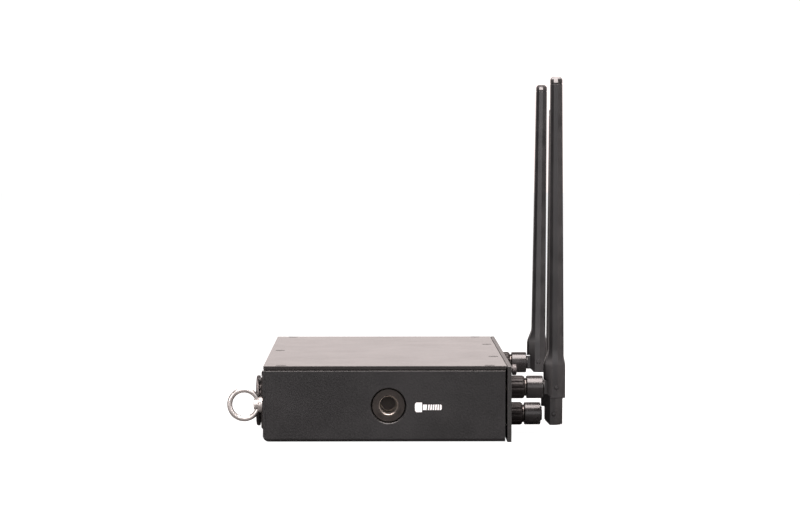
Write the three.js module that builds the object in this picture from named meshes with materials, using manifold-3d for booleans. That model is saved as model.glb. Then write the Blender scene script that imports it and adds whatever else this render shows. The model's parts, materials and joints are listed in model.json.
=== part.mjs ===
// Wireless receiver unit: a bent sheet-metal case with a screwed lid, three hinged whip antennas and a
// push button on one end panel, round-bezel connectors and a safety eye on the opposite wall, and a
// threaded rigging boss in the near wall.
// Millimetres, +Z up. X runs from the connector wall to the antenna panel, Y along the case, and the
// origin is the centre of the case's underside.
import * as THREE from "three";
import { mergeVertices } from "three/addons/utils/BufferGeometryUtils.js";
import Module from "manifold-3d";

const wasm = await Module();
wasm.setup();

// Case
const caseWidth = 141.8; // connector wall's outer face to antenna panel's outer face
const caseDepth = 200; // near wall's outer face to far wall's
const caseHeight = 43.3; // underside to the lid's top, one rack unit
const traySheet = 1.5;
const lidSheet = 2;
const panelSheet = 2.3;
const panelDrop = 0.3; // the panel's lower edge under the tray's floor
const lidGap = 0.6; // shadow line between the lid and the walls
const lidSetback = 0.3; // lid's edges behind the walls' outer faces
const lidToPanel = 0.4;
const trayToPanel = 1.3;
const floorBend = 3.8; // outer radius where the floor turns up into the connector wall
const sideBend = 2; // outer radius where the floor turns up into the long walls
const wallTopRound = 0.9; // rounding of the connector wall's top edge
const seamInset = 1.2; // corner seam, back from the connector wall's outer face
const seamWidth = 0.3;
const seamDepth = 0.9;
const returnWidth = 11; // folds at the tray's open end that take the panel screws
const clearance = 0.3; // between pieces that touch

// Countersunk screws
const screwHeadRadius = 2.8;
const screwShankRadius = 1.25;
const screwHeadDepth = 1.6;
const screwLength = 8;
const tabHalfWidth = 4.5;
const tabReach = 4.5; // tab past the screw's axis
const cornerScrewInset = 4; // from the lid's long edges
const cornerScrewLeft = 10; // from the lid's connector end
const cornerScrewRight = 9.7; // from the lid's panel end
const middleScrewInset = 5.7;
const panelEndScrewInset = 4.8;
const panelEndScrewOffset = 41; // each side of the middle
const panelScrewInset = 6.5; // from the panel's ends
const panelScrewRise = 9; // from the underside and from the lid

// Rigging boss
const bossOffset = 0.7; // along X
const bossRadius = 9.75;
const bossRecess = 1.7; // face behind the near wall's outer face
const bossLength = 18;
const boreRadius = 4.3;
const boreDepth = 15.5;
const boreMouthRadius = 5.75;
const boreMouthDepth = 1.5;
const bracketPlate = 5;
const bracketHalfWidth = 17;
const bracketFoot = 12;
const bracketFootSheet = 3;
const bossCollarRadius = 12;
const bossCollarWidth = 3;

// Safety eye
const eyeInset = 8; // from the near wall's outer face
const eyeReach = 11; // ring's centre from the connector wall
const eyeInnerRadius = 6.75;
const eyeWireRadius = 1.5;
const eyeCollarRadius = 4.45;
const eyeCollarWidth = 2.6;
const eyeRootRadius = 3.05; // weld between the ring and its collar
const eyeRootIntoRing = 1.25; // past the ring's inner edge
const eyeShankRadius = 2.45;
const eyeShankLength = 11;
const eyeNutFlats = 8;
const eyeNutWidth = 4;

// Connectors on the connector wall: the first has a round bezel over its flange
const connectorInset = 29; // first connector from the near wall's outer face
const connectorPitch = 40;
const flangeSize = 31;
const flangeCorner = 3.5;
const flangeThickness = 1.3;
const grooveRadius = 13;
const grooveWidth = 1.1;
const bezelRadius = 14.6;
const bezelWidth = 2;
const barrelRadius = 11.8;
const barrelLength = 13;
const socketRadius = 10.5;
const insertFace = 1.5; // behind the wall's outer face
const contactHoles = 3;
const contactHoleDepth = 5;
const powerContactRadius = 1.7;
const powerContactCircle = 5; // radius that the contacts stand on
const signalContactRadius = 1.3;
const signalContactCircle = 4;
const portHalfWidth = 5.9; // network port's opening
const portDepth = 9;
const portBottom = 4.2; // under the connector's axis
const portCeiling = 3.8; // over it
const flangeScrewOffset = 12.4;
const flangeScrewHead = 2.3;
const flangeScrewHeadHeight = 1.6;

// Antennas, along their connector's axis from the panel's outer face
const antennaInset = 25.3; // outer antennas from the panel's ends
const lowerAntennaInset = 44.6;
const upperRowDrop = 14.6; // from the lid's top
const lowerRowRise = 11; // from the underside
const threadRadius = 4.75;
const jackFlangeRadius = 7;
const jackFlangeWidth = 2;
const jackTailRadius = 2.5;
const jackTailLength = 6;
const jackContactRadius = 2.4;
const jackContactDepth = 5;
const panelNutRadius = 6.7;
const panelNutLength = 8.4;
const threadShowing = 1.2; // bright thread between the two nuts
const couplingNutRadius = 6.6;
const couplingNutLength = 9.5;
const couplingNutEnd = 2.6; // end wall that holds the knuckle's flange
const knuckleStemRadius = 3;
const knuckleFlangeWidth = 0.9;
const knuckleHalfHeight = 4.2;
const knuckleHalfThickness = 2.5;
const knuckleCollarWidth = 0.5;
const pinFromNut = 7.7; // hinge pin's axis from the coupling nut's face
const pinRadius = 1.15;
const baseHalfDepth = 5;
const baseLeft = 7.2; // towards the case
const baseRight = 5.4;
const baseBelow = 6.4;
const baseTop = 12.4;
const cheekReach = 5; // fork cheeks towards the case
const cheekBevel = 8.7; // corner cut, as the sum of its two offsets from the pin
const mastLength = 179.5; // pin to tip
const flareRight = 6.5; // rise of the flare on the side away from the case
const flareLeft = 10;
const frontFlatLeft = 2.4; // the mast's front flat, each side of the pin
const frontFlatRight = 0.6;
const whipFootHalf = 4.5; // half width above the flare
const whipHeadHalf = 3.45;
const whipDepthShare = 0.92; // of its half width
const flatTaper = 0.75; // front flat at the tip, as a share of the foot's
const tipRound = 2.4;
const tipShare = 0.6; // width of the very tip, as a share of the mast's below it
const footRound = 0.6;
const footShare = 0.93;
const broadBevelShare = 0.78; // of the way out to the side, where the broad bevel ends
const broadBevelDepth = 0.56; // share of the depth left there
const sideFlatDepth = 0.2; // half of the side flat, as a share of the depth
const hingeSides = 12;
// How each mast is set, in degrees: its lean away from the case, and its elbow's turn towards the near end
const nearUpperSet = { lean: -0.1, turn: 0 };
const nearLowerSet = { lean: 0.15, turn: 0 };
const farUpperSet = { lean: 1, turn: -6 };

// Push button, from the panel's outer face
const buttonInset = 48; // from the panel's near end
const buttonDrop = 6.8; // from the lid's top
const buttonHeadRadius = 3.25;
const buttonHeadLength = 2.6;
const buttonStandoff = 3; // underside of the head
const buttonStemRadius = 1.9;
const buttonStemLength = 6.5;
const buttonBushWall = 1;
const buttonBushTail = 4; // behind the panel
const buttonBezelRadius = 4.5;
const buttonBezelWidth = 1.1;
const buttonTravel = 1.2;
const switchSize = 9;
const switchDepth = 5;

// Electronics
const boardThickness = 1.6;
const boardRise = 9.5; // underside of the board over the case's underside
const boardLeftGap = 21; // behind the connector wall's outer face
const boardRightGap = 16; // behind the antenna panel's outer face
const boardEndGap = 25;
const standoffRadius = 3;
const standoffInset = 6;
const boardHoleRadius = 1.6;
const radioWidth = 36;
const radioDepth = 64;
const radioHeight = 6;
const radioEdgeGap = 5; // from the board's panel edge
const powerWidth = 36;
const powerDepth = 56;
const powerHeight = 20;
const powerEdgeGap = 5; // from the board's connector edge
const coaxRadius = 0.9;
const coaxPortPitch = 18;

// Places that follow
const leftFace = -caseWidth / 2;
const rightFace = caseWidth / 2;
const nearFace = -caseDepth / 2;
const farFace = caseDepth / 2;
const panelInner = rightFace - panelSheet;
const trayEnd = panelInner - trayToPanel;
const lidUnder = caseHeight - lidSheet;
const trayTop = lidUnder - lidGap;
const lidLeft = leftFace + lidSetback;
const lidRight = panelInner - lidToPanel;
const lidNear = nearFace + lidSetback;
const lidFar = farFace - lidSetback;
const portHeight = lidUnder / 2; // boss, eye and connectors share one height

// Sides of round shapes
const screwSides = 10;
const smallSides = 16;
const largeSides = 28;

const finishes = {
  powderBlack: { color: 0x1d1c1b, roughness: 0.55, metalness: 0.2 },
  panelBlack: { color: 0x232221, roughness: 0.5, metalness: 0.2 },
  screwBlack: { color: 0x141414, roughness: 0.4, metalness: 0.7 },
  bossSteel: { color: 0x35312f, roughness: 0.4, metalness: 0.8 },
  brightSteel: { color: 0xc4bdb8, roughness: 0.25, metalness: 1 },
  zincSteel: { color: 0xa5a5a2, roughness: 0.4, metalness: 0.9 },
  nutPlastic: { color: 0x1c191a, roughness: 0.4, metalness: 0.1 },
  mastPlastic: { color: 0x2b2a2a, roughness: 0.5, metalness: 0 },
  bezelMetal: { color: 0x4a4644, roughness: 0.35, metalness: 0.7 },
  insertPlastic: { color: 0x101112, roughness: 0.5, metalness: 0 },
  goldPlate: { color: 0xc9a24a, roughness: 0.3, metalness: 1 },
  boardGreen: { color: 0x11502c, roughness: 0.5, metalness: 0 },
  coaxBrown: { color: 0x5a3a22, roughness: 0.5, metalness: 0 },
};

const unit = new THREE.Group();
unit.name = "wireless_receiver";

// Solids and meshes

function solid(geometry) {
  const bare = geometry.clone();
  bare.deleteAttribute("normal");
  bare.deleteAttribute("uv");
  const merged = mergeVertices(bare, 1e-4);
  const mesh = new wasm.Mesh({
    numProp: 3,
    vertProperties: merged.attributes.position.array,
    triVerts: new Uint32Array(merged.index.array),
  });
  return new wasm.Manifold(mesh);
}

function addPiece(name, body, finish, parent = unit) {
  const { vertProperties, triVerts } = body.getMesh();
  const geometry = new THREE.BufferGeometry();
  geometry.setAttribute("position", new THREE.BufferAttribute(vertProperties, 3));
  geometry.setIndex(new THREE.BufferAttribute(triVerts, 1));
  geometry.computeVertexNormals();
  const mesh = new THREE.Mesh(geometry, new THREE.MeshStandardMaterial(finish));
  mesh.name = name;
  parent.add(mesh);
}

function block(x0, x1, y0, y1, z0, z1) {
  const geometry = new THREE.BoxGeometry(x1 - x0, y1 - y0, z1 - z0);
  return solid(geometry.translate((x0 + x1) / 2, (y0 + y1) / 2, (z0 + z1) / 2));
}

const axisX = new THREE.Vector3(1, 0, 0);
const axisY = new THREE.Vector3(0, 1, 0);
const axisZ = new THREE.Vector3(0, 0, 1);
const prismBases = {
  x: new THREE.Matrix4().makeBasis(axisY, axisZ, axisX), // outline in Y, Z
  y: new THREE.Matrix4().makeBasis(axisX, axisZ, axisY.clone().negate()), // outline in X, Z
  z: new THREE.Matrix4(),
};

// An outline pushed along an axis from one place to another.
function prism(axis, outline, from, to) {
  const geometry = new THREE.ExtrudeGeometry(outline, {
    depth: to - from,
    bevelEnabled: false,
    curveSegments: 6,
  });
  geometry.applyMatrix4(prismBases[axis]);
  const start = axis === "y" ? to : from;
  const shift = new THREE.Vector3(+(axis === "x"), +(axis === "y"), +(axis === "z"));
  return solid(geometry.translate(...shift.multiplyScalar(start)));
}

const spinBases = {
  x: new THREE.Matrix4().makeRotationZ(-Math.PI / 2),
  y: new THREE.Matrix4(),
  z: new THREE.Matrix4().makeRotationX(Math.PI / 2),
};

// A profile of [radius, place along the axis] spun about a line through the centre.
function turned(axis, profile, centre = [0, 0, 0], sides = smallSides) {
  const points = profile.map(([radius, along]) => new THREE.Vector2(radius, along));
  const geometry = new THREE.LatheGeometry(points, sides);
  return solid(geometry.applyMatrix4(spinBases[axis]).translate(...centre));
}

function rod(axis, radius, from, to, centre = [0, 0, 0], sides = smallSides) {
  const profile = [[0, from], [radius, from], [radius, to], [0, to]];
  return turned(axis, profile, centre, sides);
}

function ring(axis, inner, outer, from, to, centre = [0, 0, 0], sides = smallSides) {
  const profile = [[inner, from], [outer, from], [outer, to], [inner, to], [inner, from]];
  return turned(axis, profile, centre, sides);
}

function roundedSquare(size, corner) {
  const half = size / 2;
  const flat = half - corner;
  const outline = new THREE.Shape();
  outline.absarc(flat, flat, corner, 0, Math.PI / 2);
  outline.absarc(-flat, flat, corner, Math.PI / 2, Math.PI);
  outline.absarc(-flat, -flat, corner, Math.PI, Math.PI * 1.5);
  outline.absarc(flat, -flat, corner, Math.PI * 1.5, Math.PI * 2);
  return outline;
}

function hexagon(acrossFlats) {
  const radius = acrossFlats / Math.sqrt(3);
  const outline = new THREE.Shape();
  for (let corner = 0; corner < 6; corner++) {
    const turn = (corner * Math.PI) / 3;
    outline.lineTo(radius * Math.cos(turn), radius * Math.sin(turn));
  }
  return outline;
}

// Lid screws: the place of each axis, and the wall that its tab grows from
const lidScrewPlaces = [
  { x: lidLeft + cornerScrewLeft, y: lidNear + cornerScrewInset, wall: "near" },
  { x: lidRight - cornerScrewRight, y: lidNear + cornerScrewInset, wall: "near" },
  { x: lidLeft + cornerScrewLeft, y: lidFar - cornerScrewInset, wall: "far" },
  { x: lidRight - cornerScrewRight, y: lidFar - cornerScrewInset, wall: "far" },
  { x: lidLeft + middleScrewInset, y: 0, wall: "connector" },
  { x: lidRight - panelEndScrewInset, y: -panelEndScrewOffset, wall: "panel" },
  { x: lidRight - panelEndScrewInset, y: panelEndScrewOffset, wall: "panel" },
];
const panelScrewPlaces = [];
for (const y of [nearFace + panelScrewInset, farFace - panelScrewInset]) {
  for (const z of [panelScrewRise, caseHeight - panelScrewRise]) panelScrewPlaces.push({ y, z });
}
const connectorPlaces = ["power_inlet", "signal_output", "network_port"].map((name, i) => ({
  name,
  y: nearFace + connectorInset + i * connectorPitch,
  bezelled: i === 0, // the others are flush with their flanges
}));
const antennaPlaces = [
  { name: "near_upper", y: nearFace + antennaInset, z: caseHeight - upperRowDrop, ...nearUpperSet },
  { name: "near_lower", y: nearFace + lowerAntennaInset, z: lowerRowRise, ...nearLowerSet },
  { name: "far_upper", y: farFace - antennaInset, z: caseHeight - upperRowDrop, ...farUpperSet },
];
const buttonBushRadius = buttonStemRadius + clearance + buttonBushWall;
const buttonY = nearFace + buttonInset;
const buttonZ = caseHeight - buttonDrop;
const eyeY = nearFace + eyeInset;
const boardLeft = leftFace + boardLeftGap;
const boardRight = rightFace - boardRightGap;
const boardNear = nearFace + boardEndGap;
const boardFar = farFace - boardEndGap;
const boardTop = boardRise + boardThickness;

// Tray: floor, near and far walls and connector wall, bent from one sheet

function trayBlock(inset, bendAtWall, bendAtSides, topRound, top, end) {
  const left = leftFace + inset;
  const near = nearFace + inset;
  const far = farFace - inset;
  const along = new THREE.Shape();
  along.moveTo(end, inset);
  along.lineTo(end, top);
  along.absarc(left + topRound, top - topRound, topRound, Math.PI / 2, Math.PI);
  along.absarc(left + bendAtWall, inset + bendAtWall, bendAtWall, Math.PI, Math.PI * 1.5);
  const across = new THREE.Shape();
  across.moveTo(far, top);
  across.lineTo(near, top);
  across.absarc(near + bendAtSides, inset + bendAtSides, bendAtSides, Math.PI, Math.PI * 1.5);
  across.absarc(far - bendAtSides, inset + bendAtSides, bendAtSides, Math.PI * 1.5, Math.PI * 2);
  return prism("y", along, near, far).intersect(prism("x", across, left - 1, end + 1));
}

function addTray() {
  const innerTop = trayTop + 1;
  const innerEnd = trayEnd + 1;
  const smallBend = 0.5;
  let tray = trayBlock(0, floorBend, sideBend, wallTopRound, trayTop, trayEnd).subtract(
    trayBlock(
      traySheet,
      Math.max(floorBend - traySheet, smallBend),
      Math.max(sideBend - traySheet, smallBend),
      smallBend,
      innerTop,
      innerEnd,
    ),
  );
  const joint = 0.2; // what grows from a wall starts this far inside it
  for (const side of [-1, 1]) {
    const wallInner = side * (farFace - traySheet + joint);
    const foldEnd = side * (farFace - traySheet - returnWidth);
    const [y0, y1] = [wallInner, foldEnd].sort((a, b) => a - b);
    tray = tray.add(block(trayEnd - traySheet, trayEnd, y0, y1, traySheet - joint, trayTop - traySheet));
  }
  for (const { x, y, wall } of lidScrewPlaces) {
    const tab = {
      near: [x - tabHalfWidth, x + tabHalfWidth, nearFace + traySheet - joint, y + tabReach],
      far: [x - tabHalfWidth, x + tabHalfWidth, y - tabReach, farFace - traySheet + joint],
      connector: [leftFace + traySheet - joint, x + tabReach, y - tabHalfWidth, y + tabHalfWidth],
    }[wall];
    if (tab) tray = tray.add(block(...tab, trayTop - traySheet, trayTop));
  }
  for (const { x, y } of standoffPlaces()) {
    const post = rod("z", standoffRadius, traySheet - joint, boardRise - clearance, [x, y, 0], 6);
    tray = tray.add(post);
  }
  const bossCentre = [bossOffset, 0, portHeight];
  const cuts = [
    rod("y", bossRadius + clearance, nearFace - 1, nearFace + traySheet + 1, bossCentre, largeSides),
    block(
      leftFace + seamInset,
      leftFace + seamInset + seamWidth,
      nearFace - 1,
      nearFace + seamDepth,
      floorBend,
      trayTop + 1,
    ),
    rod("x", eyeShankRadius + clearance, leftFace - 1, leftFace + traySheet + 1, [0, eyeY, portHeight]),
  ];
  for (const { y } of connectorPlaces) {
    const wallSpan = [leftFace - 1, leftFace + traySheet + 1];
    cuts.push(rod("x", barrelRadius + clearance, ...wallSpan, [0, y, portHeight], largeSides));
    for (const side of [-1, 1]) {
      const place = [0, y + side * flangeScrewOffset, portHeight - side * flangeScrewOffset];
      cuts.push(rod("x", screwShankRadius + clearance, ...wallSpan, place, screwSides));
    }
  }
  for (const { x, y, wall } of lidScrewPlaces) {
    if (wall === "panel") continue;
    const span = [trayTop - traySheet - 1, trayTop + 1];
    cuts.push(rod("z", screwShankRadius + clearance, ...span, [x, y, 0], screwSides));
  }
  for (const { y, z } of panelScrewPlaces) {
    const span = [trayEnd - traySheet - 1, trayEnd + 1];
    cuts.push(rod("x", screwShankRadius + clearance, ...span, [0, y, z], screwSides));
  }
  for (const cut of cuts) tray = tray.subtract(cut);
  addPiece("base_tray", tray, finishes.powderBlack);
}

function standoffPlaces() {
  const xs = [boardLeft + standoffInset, boardRight - standoffInset];
  const ys = [boardNear + standoffInset, boardFar - standoffInset];
  return xs.flatMap((x) => ys.map((y) => ({ x, y })));
}

// Countersunk screw with its head's flat top at place 0; grown by the clearance, it is its own hole.
function countersunkProfile(grow = 0, over = 0) {
  const head = screwHeadRadius + grow;
  const shank = screwShankRadius + grow;
  const profile = [
    [0, -screwLength - grow],
    [shank, -screwLength - grow],
    [shank, -screwHeadDepth - grow],
    [head, 0],
  ];
  if (over) profile.push([head, over]);
  profile.push([0, over]);
  return profile;
}

function addLid() {
  let lid = block(lidLeft, lidRight, lidNear, lidFar, lidUnder, caseHeight);
  lidScrewPlaces.forEach(({ x, y }, i) => {
    lid = lid.subtract(turned("z", countersunkProfile(clearance, 1), [x, y, caseHeight], screwSides));
    const screw = turned("z", countersunkProfile(), [x, y, caseHeight], screwSides);
    addPiece(`lid_screw_${i + 1}`, screw, finishes.screwBlack);
  });
  addPiece("lid", lid, finishes.powderBlack);
}

function addPanel() {
  let panel = block(panelInner, rightFace, nearFace, farFace, -panelDrop, caseHeight);
  for (const { x, y, wall } of lidScrewPlaces) {
    if (wall !== "panel") continue;
    const tab = [x - tabReach, panelInner + 0.2, y - tabHalfWidth, y + tabHalfWidth];
    panel = panel.add(block(...tab, trayTop - traySheet, trayTop));
    const span = [trayTop - traySheet - 1, trayTop + 1];
    panel = panel.subtract(rod("z", screwShankRadius + clearance, ...span, [x, y, 0], screwSides));
  }
  panelScrewPlaces.forEach(({ y, z }, i) => {
    panel = panel.subtract(turned("x", countersunkProfile(clearance, 1), [rightFace, y, z], screwSides));
    const screw = turned("x", countersunkProfile(), [rightFace, y, z], screwSides);
    addPiece(`panel_screw_${i + 1}`, screw, finishes.screwBlack);
  });
  for (const { y, z } of antennaPlaces) {
    panel = panel.subtract(rod("x", threadRadius + clearance, panelInner - 1, rightFace + 1, [0, y, z]));
  }
  const holeRadius = buttonBushRadius + clearance;
  const buttonHole = rod("x", holeRadius, panelInner - 1, rightFace + 1, [0, buttonY, buttonZ]);
  addPiece("antenna_panel", panel.subtract(buttonHole), finishes.panelBlack);
}

// Rigging boss: a blind threaded boss behind a round window in the near wall, held by a thick bracket
function addRigging() {
  const centre = [bossOffset, 0, portHeight];
  const face = nearFace + bossRecess;
  const bracketFront = nearFace + traySheet + clearance;
  const bracketBack = bracketFront + bracketPlate;
  const collarFront = bracketBack + clearance;
  const profile = [
    [0, face + boreDepth],
    [boreRadius, face + boreDepth],
    [boreRadius, face + boreMouthDepth],
    [boreMouthRadius, face],
    [bossRadius, face],
    [bossRadius, collarFront],
    [bossCollarRadius, collarFront],
    [bossCollarRadius, collarFront + bossCollarWidth],
    [bossRadius, collarFront + bossCollarWidth],
    [bossRadius, face + bossLength],
    [0, face + bossLength],
  ];
  addPiece("rigging_boss", turned("y", profile, centre, largeSides), finishes.bossSteel);
  const floor = traySheet + clearance;
  const bracketTop = trayTop - traySheet - clearance;
  const x0 = bossOffset - bracketHalfWidth;
  const x1 = bossOffset + bracketHalfWidth;
  const bracket = block(x0, x1, bracketFront, bracketBack, floor, bracketTop)
    .add(block(x0, x1, bracketFront, bracketBack + bracketFoot, floor, floor + bracketFootSheet))
    .subtract(rod("y", bossRadius + clearance, bracketFront - 1, bracketBack + 1, centre, largeSides));
  addPiece("rigging_bracket", bracket, finishes.zincSteel);
}

function addEyeBolt() {
  const ringRadius = eyeInnerRadius + eyeWireRadius;
  const wire = new THREE.TorusGeometry(ringRadius, eyeWireRadius, 8, largeSides).rotateX(Math.PI / 2);
  const eye = solid(wire.translate(leftFace - eyeReach, eyeY, portHeight));
  const centre = [0, eyeY, portHeight];
  const collarFace = leftFace - clearance;
  const collar = rod("x", eyeCollarRadius, collarFace - eyeCollarWidth, collarFace, centre);
  const rootStart = leftFace - eyeReach + eyeInnerRadius - eyeRootIntoRing;
  const root = rod("x", eyeRootRadius, rootStart, collarFace - 0.2, centre);
  const shank = rod("x", eyeShankRadius, collarFace - 1, leftFace + eyeShankLength, centre);
  addPiece("eye_bolt", eye.add(collar).add(root).add(shank), finishes.brightSteel);
  const nutFace = leftFace + traySheet + clearance;
  const nut = prism("x", hexagon(eyeNutFlats), nutFace, nutFace + eyeNutWidth);
  const bore = rod("x", eyeShankRadius + clearance, nutFace - 1, nutFace + eyeNutWidth + 1);
  const group = new THREE.Group();
  group.position.set(0, eyeY, portHeight);
  unit.add(group);
  addPiece("eye_bolt_nut", nut.subtract(bore), finishes.zincSteel, group);
}

// One connector; its group's origin is on the wall's outer face, -X points out.
function addConnector({ name, y, bezelled }) {
  const group = new THREE.Group();
  group.position.set(leftFace, y, portHeight);
  unit.add(group);
  const flangeFront = -clearance - flangeThickness;
  const bezelBack = flangeFront - grooveWidth;
  const bezelFront = bezelBack - bezelWidth;
  let shell = prism("x", roundedSquare(flangeSize, flangeCorner), flangeFront, -clearance);
  if (bezelled) {
    shell = shell
      .add(rod("x", grooveRadius, bezelBack - 0.2, flangeFront + 0.2, undefined, largeSides))
      .add(rod("x", bezelRadius, bezelFront, bezelBack, undefined, largeSides));
  }
  shell = shell
    .add(rod("x", barrelRadius, -clearance - 0.2, barrelLength, undefined, largeSides))
    .subtract(rod("x", socketRadius, bezelFront - 1, barrelLength + 1, undefined, largeSides));
  const headBack = flangeFront - clearance;
  for (const side of [-1, 1]) {
    const place = [0, side * flangeScrewOffset, -side * flangeScrewOffset];
    const hole = rod("x", screwShankRadius + clearance, flangeFront - 1, 1, place, screwSides);
    shell = shell.subtract(hole);
    const profile = [
      [0, headBack - flangeScrewHeadHeight],
      [flangeScrewHead, headBack - flangeScrewHeadHeight],
      [flangeScrewHead, headBack],
      [screwShankRadius, headBack],
      [screwShankRadius, headBack + screwLength],
      [0, headBack + screwLength],
    ];
    const end = side < 0 ? "a" : "b";
    addPiece(`${name}_screw_${end}`, turned("x", profile, place, screwSides), finishes.screwBlack, group);
  }
  addPiece(`${name}_shell`, shell, finishes.bezelMetal, group);
  let insert = rod("x", socketRadius - clearance, insertFace, barrelLength, undefined, largeSides);
  for (const hole of contactCuts(name)) insert = insert.subtract(hole);
  addPiece(`${name}_insert`, insert, finishes.insertPlastic, group);
}

// What is cut out of a connector's insert: one port, or a circle of contact holes
function contactCuts(name) {
  const front = insertFace - 1;
  if (name === "network_port") {
    const back = insertFace + portDepth;
    return [block(front, back, -portHalfWidth, portHalfWidth, -portBottom, portCeiling)];
  }
  const power = name === "power_inlet";
  const radius = power ? powerContactRadius : signalContactRadius;
  const circle = power ? powerContactCircle : signalContactCircle;
  return Array.from({ length: contactHoles }, (_, i) => {
    const turn = Math.PI / 2 + (i * 2 * Math.PI) / contactHoles;
    const place = [0, circle * Math.cos(turn), circle * Math.sin(turn)];
    return rod("x", radius, front, insertFace + contactHoleDepth, place, screwSides);
  });
}

// Antennas

// Section of a mast: twelve corners, anticlockwise from above, with flats to the front and back.
function mastSection({ left, right, depth, flatLeft, flatRight }) {
  const side = (edge, flat) => [
    [flat, depth],
    [flat + (edge - flat) * broadBevelShare, depth * broadBevelDepth],
    [edge, depth * sideFlatDepth],
  ];
  const upper = [...side(right, flatRight).reverse(), ...side(-left, -flatLeft)];
  const lower = upper.map(([x, y]) => [x, -y]).reverse();
  return [...upper, ...lower];
}

// Flat-sided solid through rings of equal corner counts, lowest first.
function loft(levels) {
  const corners = levels[0].ring.length;
  const positions = levels.flatMap(({ ring: points, z }) => points.flatMap(([x, y]) => [x, y, z]));
  const faces = [];
  for (let level = 0; level + 1 < levels.length; level++) {
    for (let corner = 0; corner < corners; corner++) {
      const next = (corner + 1) % corners;
      const [a, b] = [level * corners + corner, level * corners + next];
      faces.push(a, b, b + corners, a, b + corners, a + corners);
    }
  }
  const topStart = (levels.length - 1) * corners;
  for (let corner = 1; corner + 1 < corners; corner++) {
    faces.push(0, corner + 1, corner, topStart, topStart + corner, topStart + corner + 1);
  }
  const geometry = new THREE.BufferGeometry();
  geometry.setAttribute("position", new THREE.Float32BufferAttribute(positions, 3));
  geometry.setIndex(faces);
  return solid(geometry);
}

function mastLevels() {
  const flats = { flatLeft: frontFlatLeft, flatRight: frontFlatRight };
  const base = { left: baseLeft, right: baseRight, depth: baseHalfDepth, ...flats };
  const whip = (half) => ({ left: half, right: half, depth: half * whipDepthShare, ...flats });
  const changed = (section, change) => {
    return Object.fromEntries(Object.entries(section).map(([key, value]) => [key, change(value, key)]));
  };
  const foot = whip(whipFootHalf);
  const head = { ...whip(whipHeadHalf), flatLeft: frontFlatLeft * flatTaper };
  const flared = changed(base, (value, key) => value + (foot[key] - value) * (flareRight / flareLeft));
  const levels = [
    { z: -baseBelow, section: changed(base, (value) => value * footShare) },
    { z: -baseBelow + footRound, section: base },
    { z: baseTop, section: base },
    { z: baseTop + flareRight, section: { ...flared, right: foot.right } },
    { z: baseTop + flareLeft, section: foot },
    { z: mastLength - tipRound, section: head },
    { z: mastLength, section: changed(head, (value) => value * tipShare) },
  ];
  return levels.map(({ z, section }) => ({ z, ring: mastSection(section) }));
}

// Mast with a forked foot; its own origin is the hinge pin's axis.
function mastSolid() {
  const slotEdge = knuckleHalfHeight + clearance;
  const slotHalf = knuckleHalfThickness + clearance;
  const wide = baseLeft + 2;
  const bevel = new THREE.Shape();
  bevel.moveTo(-wide, -cheekBevel + wide);
  bevel.lineTo(-wide, -wide - 1);
  bevel.lineTo(-cheekBevel + wide + 1, -wide - 1);
  return loft(mastLevels())
    .subtract(block(-wide, slotEdge, -slotHalf, slotHalf, -wide, slotEdge))
    .subtract(block(-wide, -cheekReach, -wide, wide, -wide, slotEdge))
    .subtract(prism("y", bevel, -wide, wide))
    .subtract(rod("y", pinRadius + clearance, -wide, wide, undefined, hingeSides));
}

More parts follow.
